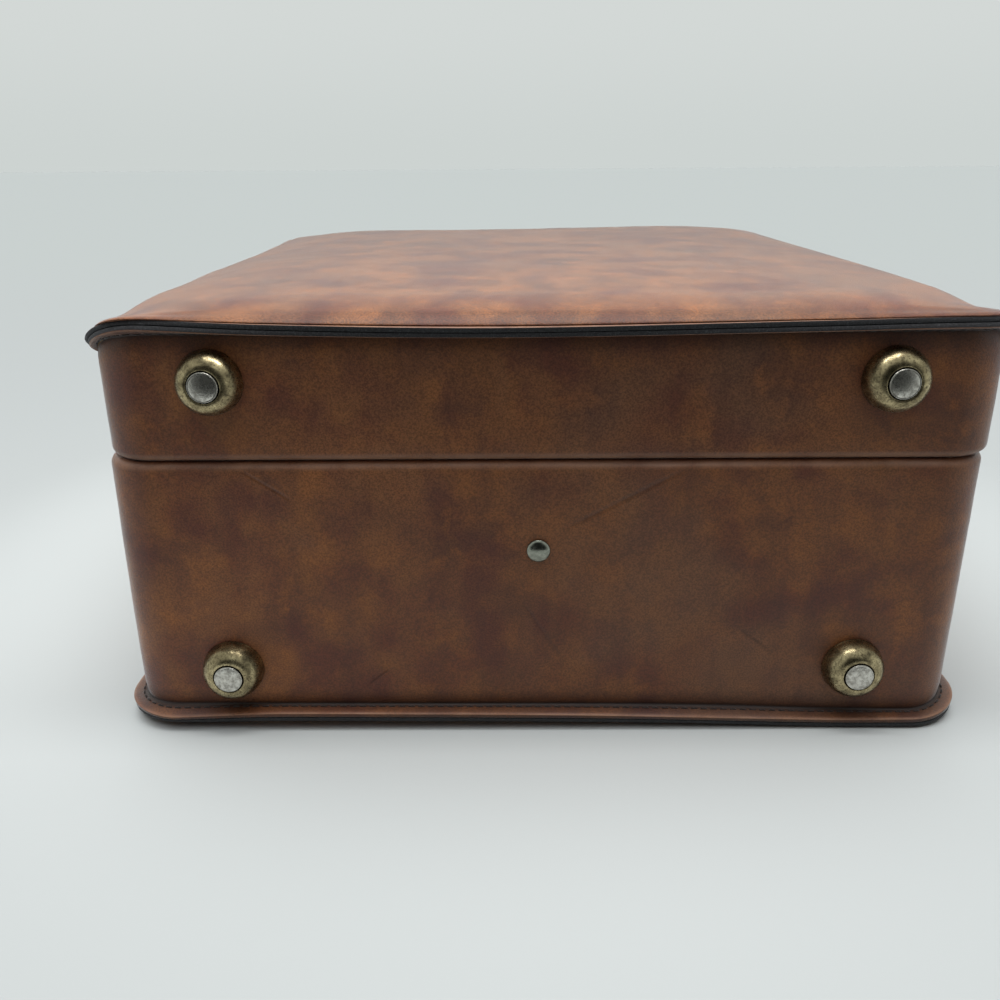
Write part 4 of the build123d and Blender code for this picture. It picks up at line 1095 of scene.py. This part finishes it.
def wall_lining(node, seed):
    """A band of velour round the inside of the walls, turned over at its open edge."""
    up = 1 if abs(high(node).z - body_rim) < 2 * MM else -1
    base, rim = (low(node).z, high(node).z)[::up]
    lining = Shell()
    for depth, below in ((0.0, 0.4), (0.3, 0.1), (0.6, 0.0), (0.85, 0.15)):
        lining.ring(level_ring(lining_loop(depth * MM), rim - up * below * MM))
    for level in steps(rim - up * 0.5 * MM, base, 12):
        points = []
        for place, outward in lining_loop(LINING):
            give = abs(ripple(place, level, seed, 0.12 * MM))
            points.append((place.x + outward.x * give, place.y + outward.y * give, level))
        lining.ring(points)
    lining.ring(level_ring(lining_loop(0.0), base))
    return lining.build(f"{node}_cloth")


def board_lining(node, room_side, seed):
    """A sheet of velour over a flat board, with a few soft pulls towards its edges."""
    back, face = (low(node).z, high(node).z)[::room_side]
    edge = lining_loop(0.0)
    lining = Shell()
    for scale in (0.03, 0.2, 0.36, 0.5, 0.62, 0.73, 0.82, 0.89, 0.94, 0.98):
        points = []
        for place, _ in edge:
            spot = place * scale
            sink = abs(ripple(spot, 0.0, seed, 0.16 * MM))
            points.append((spot.x, spot.y, face - room_side * sink))
        lining.ring(points)
    lining.ring(level_ring(edge, face - room_side * 0.3 * MM))
    for scale in (1.0, 0.6, 0.05):
        lining.ring(level_ring(edge, back, scale))
    return lining.build(f"{node}_cloth", ends="round")


def line_half(half, body, board, room_side, seed):
    """The two cloths of one half: round its walls, and over its board."""
    walls_node, board_node = f"{half}_wall_lining", f"{half}_{board}_lining"
    cloth = add_piece(wall_lining(walls_node, seed), [VELOUR], body, "lining", walls_node)
    cloth = add_piece(board_lining(board_node, room_side, seed), [VELOUR], body, "lining", board_node)


line_half("body", "case_body", "floor", 1, 2.3)
line_half("lid", "lid", "ceiling", -1, 7.9)

PATH_STEP = 3.0 * MM
BEND_STEPS = 6


def fillet_path(corners, radius):
    """Points along a bent line of (across, up) corners, with rounded bends and even steps."""
    points = [Vector(corners[0])]
    for before, corner, after in zip(corners, corners[1:], corners[2:]):
        corner = Vector(corner)
        back = (Vector(before) - corner).normalized()
        onward = (Vector(after) - corner).normalized()
        half = back.angle(onward) / 2
        centre = corner + (back + onward).normalized() * (radius / sin(half))
        first = corner + back * (radius / tan(half)) - centre
        last = corner + onward * (radius / tan(half)) - centre
        sweep = first.angle(last)
        for share in steps(0, 1, BEND_STEPS):
            turned = first * sin((1 - share) * sweep) + last * sin(share * sweep)
            points.append(centre + turned / sin(sweep))
    points.append(Vector(corners[-1]))
    path = [points[0]]
    for start, end in zip(points, points[1:]):
        count = max(1, ceil((end - start).length / PATH_STEP))
        path.extend(start.lerp(end, share) for share in steps(0, 1, count)[1:])
    return path


def path_frames(path):
    """Each point of a path with its direction and the normal to its left."""
    frames = []
    for k, point in enumerate(path):
        along = (path[min(k + 1, len(path) - 1)] - path[max(k - 1, 0)]).normalized()
        frames.append((point, along, Vector((-along.y, along.x))))
    return frames


def ribbon(name, path, y_middle, width, thickness, ribs=0):
    """A flat strap along a path of (x, z) points, with rounded edges and, if any, ribs along it."""
    half = thickness / 2
    outline = []
    for face in (1, -1):
        for share in steps(0, 1, max(8, ribs * 6))[::face]:
            rib = 0.14 * MM * (cos(tau * ribs * share) - 1) if ribs else 0.0
            outline.append(((share - 0.5) * (width - thickness), face * (half + rib)))
        for degrees in (45, 0, -45):
            out, up = heading(degrees) * half
            outline.append((face * ((width - thickness) / 2 + out), face * up))
    strap = Shell()
    for point, _, normal in path_frames(path):
        strap.ring([
            (point.x + normal.x * lift, y_middle + across, point.y + normal.y * lift)
            for across, lift in outline
        ])
    return strap.build(name, ends="round")


def strap_stitches(name, path, y_middle, offset, lift):
    """Two rows of stitches along a strap, near its edges, on the side that its normal points to."""
    places = []
    since = 0.0
    frames = path_frames(path)
    for (before, _, _), (point, along, normal) in zip(frames, frames[1:]):
        since += (point - before).length
        if since < STRAP_STITCH_PITCH:
            continue
        since = 0.0
        spot = point + normal * lift
        for side in (-1, 1):
            places.append((
                Vector((spot.x, y_middle + side * offset, spot.y)),
                Vector((along.x, 0, along.y)), Vector((normal.x, 0, normal.y)),
            ))
    return beads(name, places, length=2.6 * MM, radius=0.28 * MM)


# Bottle straps, from a tab on each wall across the bay to the snap on the divider
STRAP = 1.6 * MM
STRAP_BEND = 4.5 * MM
STRAP_TAB = 20.0 * MM
STRAP_SAG = 2.2 * MM
STRAP_OVERLAP = 9.0 * MM
STRAP_REST = 6.0 * MM
STRAP_MARGIN = 2.4 * MM
strap_width = high("bottle_straps").y - low("bottle_straps").y
strap_y = middle("bottle_straps").y
divider_top = high("bottle_divider").z
divider_half = middle("bottle_divider").x - low("bottle_divider").x
snap_x = middle("bottle_divider").x
for side, name, layer in ((-1, "hinge_side", 0), (1, "latch_side", 1)):
    wall_x = side * (high("bottle_straps").x - STRAP / 2)
    span_z = divider_top + (layer + 0.5) * STRAP
    end_x = snap_x - side * STRAP_OVERLAP
    bends = [(wall_x, divider_top - STRAP_TAB), (wall_x, span_z), (end_x, span_z)]
    path = fillet_path(bends, STRAP_BEND)
    flat_start = snap_x + side * (divider_half + STRAP_REST)
    for point in path:
        share = (point.x - wall_x) / (flat_start - wall_x)
        if 0 < share < 1:
            point.y -= STRAP_SAG * sin(pi * share) ** 2
    strap = ribbon(f"bottle_strap_{name}", path, strap_y, strap_width, STRAP)
    add_piece(strap, [LEATHERETTE], "case_body", "leatherette", "bottle_straps")
    row = strap_stitches(
        f"bottle_strap_thread_{name}", path, strap_y, strap_width / 2 - STRAP_MARGIN,
        side * -STRAP / 2,
    )
    add_piece(row, [THREAD], "case_body", "leatherette")

# Elastic band on the tool panel, drawn out into a loop between each two rivets
BAND = 1.5 * MM
BAND_BEND = 4.6 * MM
BAND_RIBS = 9
LOOP_HALF = 13.25 * MM
LOOP_PITCH = 50.0 * MM
LOOP_COUNT = 4
band_low, band_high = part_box("tool_loops")
band_z = low("tool_panel").z - BAND / 2
loop_z = band_low.z + BAND / 2
corners = [(band_low.x, band_z)]
for k in range(LOOP_COUNT):
    centre_x = (k - (LOOP_COUNT - 1) / 2) * LOOP_PITCH
    start_x, end_x = centre_x - LOOP_HALF, centre_x + LOOP_HALF
    corners += [(start_x, band_z), (start_x, loop_z), (end_x, loop_z), (end_x, band_z)]
corners.append((band_high.x, band_z))
elastic_band = ribbon(
    "tool_band", fillet_path(corners, BAND_BEND), middle("tool_loops").y,
    band_high.y - band_low.y, BAND, BAND_RIBS,
)
add_piece(elastic_band, [ELASTIC], "lid", "elastic", "tool_loops")

# Handle grip: leatherette sewn round a padded core, with its seam underneath
GRIP_SIDES = 64
GRIP_ROUNDING = 0.8 * MM
GRIP_END_SHARE = 0.72
GRIP_TAPER_POWER = 4
GRIP_FLAP = 0.5 * MM
SEAM_ANGLE = 1.5 * pi
SEAM_SPREAD = 0.16
grip_low, grip_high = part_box("handle_grip")
grip_centre = (grip_low + grip_high) / 2
grip_half = (grip_high - grip_low) / 2
grip_skin = Shell()


def grip_size(share):
    """The grip's thickness along its length, as a share of its middle's."""
    return 1 - (1 - GRIP_END_SHARE) * abs(share) ** GRIP_TAPER_POWER


def grip_ring(x, size, seam=0.0, rub=0.0, crease=0.0):
    points = []
    for k in range(GRIP_SIDES):
        angle = tau * k / GRIP_SIDES
        flap = seam * exp(-(((angle - SEAM_ANGLE) / SEAM_SPREAD) ** 2))
        points.append((
            grip_centre.x + x,
            grip_centre.y + cos(angle) * grip_half.y * size,
            grip_centre.z + sin(angle) * (grip_half.z * size + flap),
        ))
    grip_skin.ring(points, rub, crease)


for share in steps(-1.0, 1.0, 48):
    puff = 1 + 0.012 * sin(share * 23)
    grip_ring(
        share * (grip_half.x - GRIP_ROUNDING), grip_size(share) * puff,
        seam=GRIP_FLAP, rub=0.5 * abs(share) ** 8,
    )
# The ends turn in: rings of (inset, size, painted crease shade)
end_turns = ((0.0, 0.92, 0.6), (0.0, 0.7, 0.4), (0.5, 0.62, 1.0))
for side in (1, -1):
    for inset, size, crease in end_turns[::side]:
        grip_ring(side * (grip_half.x - inset * MM), GRIP_END_SHARE * size, crease=crease)
grip_wrap = grip_skin.build("handle_grip_wrap")
grip_piece = add_piece(grip_wrap, [LEATHERETTE], "handle", "leatherette", "handle_grip")
seam_places = []
for share in steps(-0.86, 0.86, 20):
    for across in (-0.3, 0.3):
        angle = SEAM_ANGLE + across
        spoke = Vector((0, cos(angle) * grip_half.y, sin(angle) * grip_half.z))
        spoke *= grip_size(share)
        place = grip_centre + spoke + Vector((share * grip_half.x, 0, 0))
        seam_places.append((place, Vector((1, 0, 0)), spoke.normalized()))
add_piece(beads("handle_grip_thread", seam_places), [THREAD], "handle", "leatherette")

# Coil springs behind the thumb slides, which shorten them as they travel
SPRING_WIRE = 0.2 * MM
SPRING_TURNS = 7
TURN_STEPS = 20
WIRE_SIDES = 8


def coil(name, start, end, radius):
    """A wound spring along Y, as one unbroken wire."""
    spring = Shell()
    for share in steps(0, 1, SPRING_TURNS * TURN_STEPS):
        angle = tau * SPRING_TURNS * share
        out = Vector((cos(angle), 0, sin(angle)))
        centre = start.lerp(end, share) + out * radius
        ring = []
        for side in range(WIRE_SIDES):
            across, along = heading(360 * side / WIRE_SIDES) * SPRING_WIRE
            ring.append(centre + out * across + Vector((0, along, 0)))
        spring.ring(ring)
    return spring.build(name, ends="round")


for name, (lowest, highest) in zip(("near", "far"), halves("slide_springs", 1)):
    centre = (lowest + highest) / 2
    start = Vector((centre.x, lowest.y + SPRING_WIRE, centre.z))
    end = Vector((centre.x, highest.y - SPRING_WIRE, centre.z))
    outer = (highest.x - lowest.x) / 2
    spring = coil(f"slide_spring_{name}", start, end, outer - SPRING_WIRE)
    spring_piece = add_piece(spring, [SPRING_STEEL], "case_body", "spring_steel", "slide_springs")
    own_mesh(spring_piece)

# The nodes that show as they are: brass, apart from these
CAD_FINISHES = {
    "body_frame": PLYWOOD, "body_back_board": PLYWOOD, "lid_frame": PLYWOOD,
    "lid_face_board": PLYWOOD, "bottle_divider": VELOUR, "tool_panel": VELOUR,
    "body_foot_washers": NICKEL, "lid_foot_washers": NICKEL,
    "divider_channel": SPRING_STEEL, "catch_springs": SPRING_STEEL,
}
# How far their edges are softened, in millimetres
SOFTENED = {
    "bottle_divider": 1.4, "tool_panel": 0.7, "divider_channel": 0.2,
    "body_hinge_leaves": 0.2, "lid_hinge_leaves": 0.2, "latch_plates": 0.25,
    "latch_housings": 0.3, "hasp_plates": 0.25, "hasp_near": 0.3, "hasp_far": 0.3,
    "thumb_slide_near": 0.25, "thumb_slide_far": 0.25, "handle_brackets": 0.3,
}
for node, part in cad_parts.items():
    if node in dressed_nodes:
        continue
    part.data.materials.clear()
    part.data.materials.append(CAD_FINISHES.get(node, HARDWARE_BRASS))
    if node in SOFTENED:
        weld = part.modifiers.new("weld", "WELD")
        weld.merge_threshold = 0.002 * MM
        edges = part.modifiers.new("edges", "BEVEL")
        edges.width = SOFTENED[node] * MM
        edges.segments = 2
        edges.limit_method = "ANGLE"
        edges.angle_limit = radians(35)

# Floor out to the horizon; past a line in front of the case it only shows, and lights nothing
FLOOR_REACH = 30.0
FLOOR_FRONT = -0.42
outline = [Vector((x, y, 0.0)) * FLOOR_REACH for x, y in ((-1, -1), (1, -1), (1, 1), (-1, 1))]
floor_mesh = bpy.data.meshes.new("floor")
floor_mesh.from_pydata(outline, [], [(0, 1, 2, 3)])
floor = add_object("floor", floor_mesh)
f = Finish("floor")
away = f.fed("VectorMath", {"operation": "LENGTH"}, f.place, output="Value")
# Painted light: the floor is paler within about 0.2 m of the case, fading out by 0.36 m, lifting the
# case's shadow there
painted_light_near_case = f.ramp(f.noise(500, detail=2.0), (0.3, 205, 210, 209), (0.7, 210, 214, 213))
floor_tone = f.mix(f.spread(away, 0.20, 0.36), painted_light_near_case, srgb(187, 191, 190))
floor_tone = f.mix(f.spread(away, 0.45, 2.2), floor_tone, srgb(187, 192, 190))
floor_tone = f.mix(f.seen(), srgb(158, 163, 162), floor_tone)
solid = f.shader(Base_Color=floor_tone, Roughness=1.0, Specular_IOR_Level=0.0)
clear = f.node("BsdfTransparent", "BSDF")
shown = f.most(f.math("GREATER_THAN", f.axis("Y"), FLOOR_FRONT), f.ray("Is Camera Ray"))
f.node("OutputMaterial", Surface=f.fed("MixShader", (), shown, clear, solid))
floor_mesh.materials.append(f.material)

# A wide soft lamp over the front of the case
lamp_data = bpy.data.lights.new("lamp", "AREA")
lamp_data.shape = "RECTANGLE"
lamp_data.size = 0.34
lamp_data.size_y = 0.09
lamp_data.energy = 0.9
lamp = add_object("lamp", lamp_data)
lamp.location = (0.0, -0.19, 0.52)

# Studio light from above and behind; a pale surround, whose reflection is bright low behind the case
# and dim straight in front of it
OVERHEAD = Vector((-0.10, 0.10, 0.95)).normalized()
DIM = 0.04
GLOW = 3.1
GLOW_FOCUS = 4.6
BACK_GLOW = 0.8
LOW_GLOW = 1.5
world = bpy.data.worlds.new("studio")
scene.world = world
world.use_nodes = True
sky = Nodes(world.node_tree, "Generated")
overhead = sky.math("POWER", sky.math("MAXIMUM", sky.dot(OVERHEAD), 0.0), GLOW_FOCUS)
upward, behind = sky.dot((0.0, 0.0, 1.0)), sky.dot((0.0, 1.0, 0.0))
back_glow = sky.times(sky.spread(behind, 0.1, 0.5), sky.spread(upward, 0.0, 0.08, 0.0, BACK_GLOW))
brightness = sky.plus(sky.plus(sky.times(overhead, GLOW), DIM), back_glow)
light = sky.fed("Background", (), srgb(252, 254, 255), brightness)
low_glow = sky.times(sky.spread(behind, 0.4, 0.8), sky.spread(upward, 0.20, 0.50, LOW_GLOW, 0.0))
reflected = sky.plus(sky.spread(sky.dot((0.0, -1.0, 0.0)), 0.62, 0.90, 1.0, 0.06), low_glow)
straight = sky.ray("Is Camera Ray")
strength = sky.plus(straight, sky.times(sky.math("SUBTRACT", 1.0, straight), reflected))
pale = sky.ramp(sky.spread(upward, 0.0, 0.14), (0.0, 205, 211, 209), (1.0, 211, 216, 214))
surround = sky.fed("Background", (), pale, strength)
sky.node("OutputWorld", Surface=sky.fed("MixShader", (), sky.seen(), light, surround))
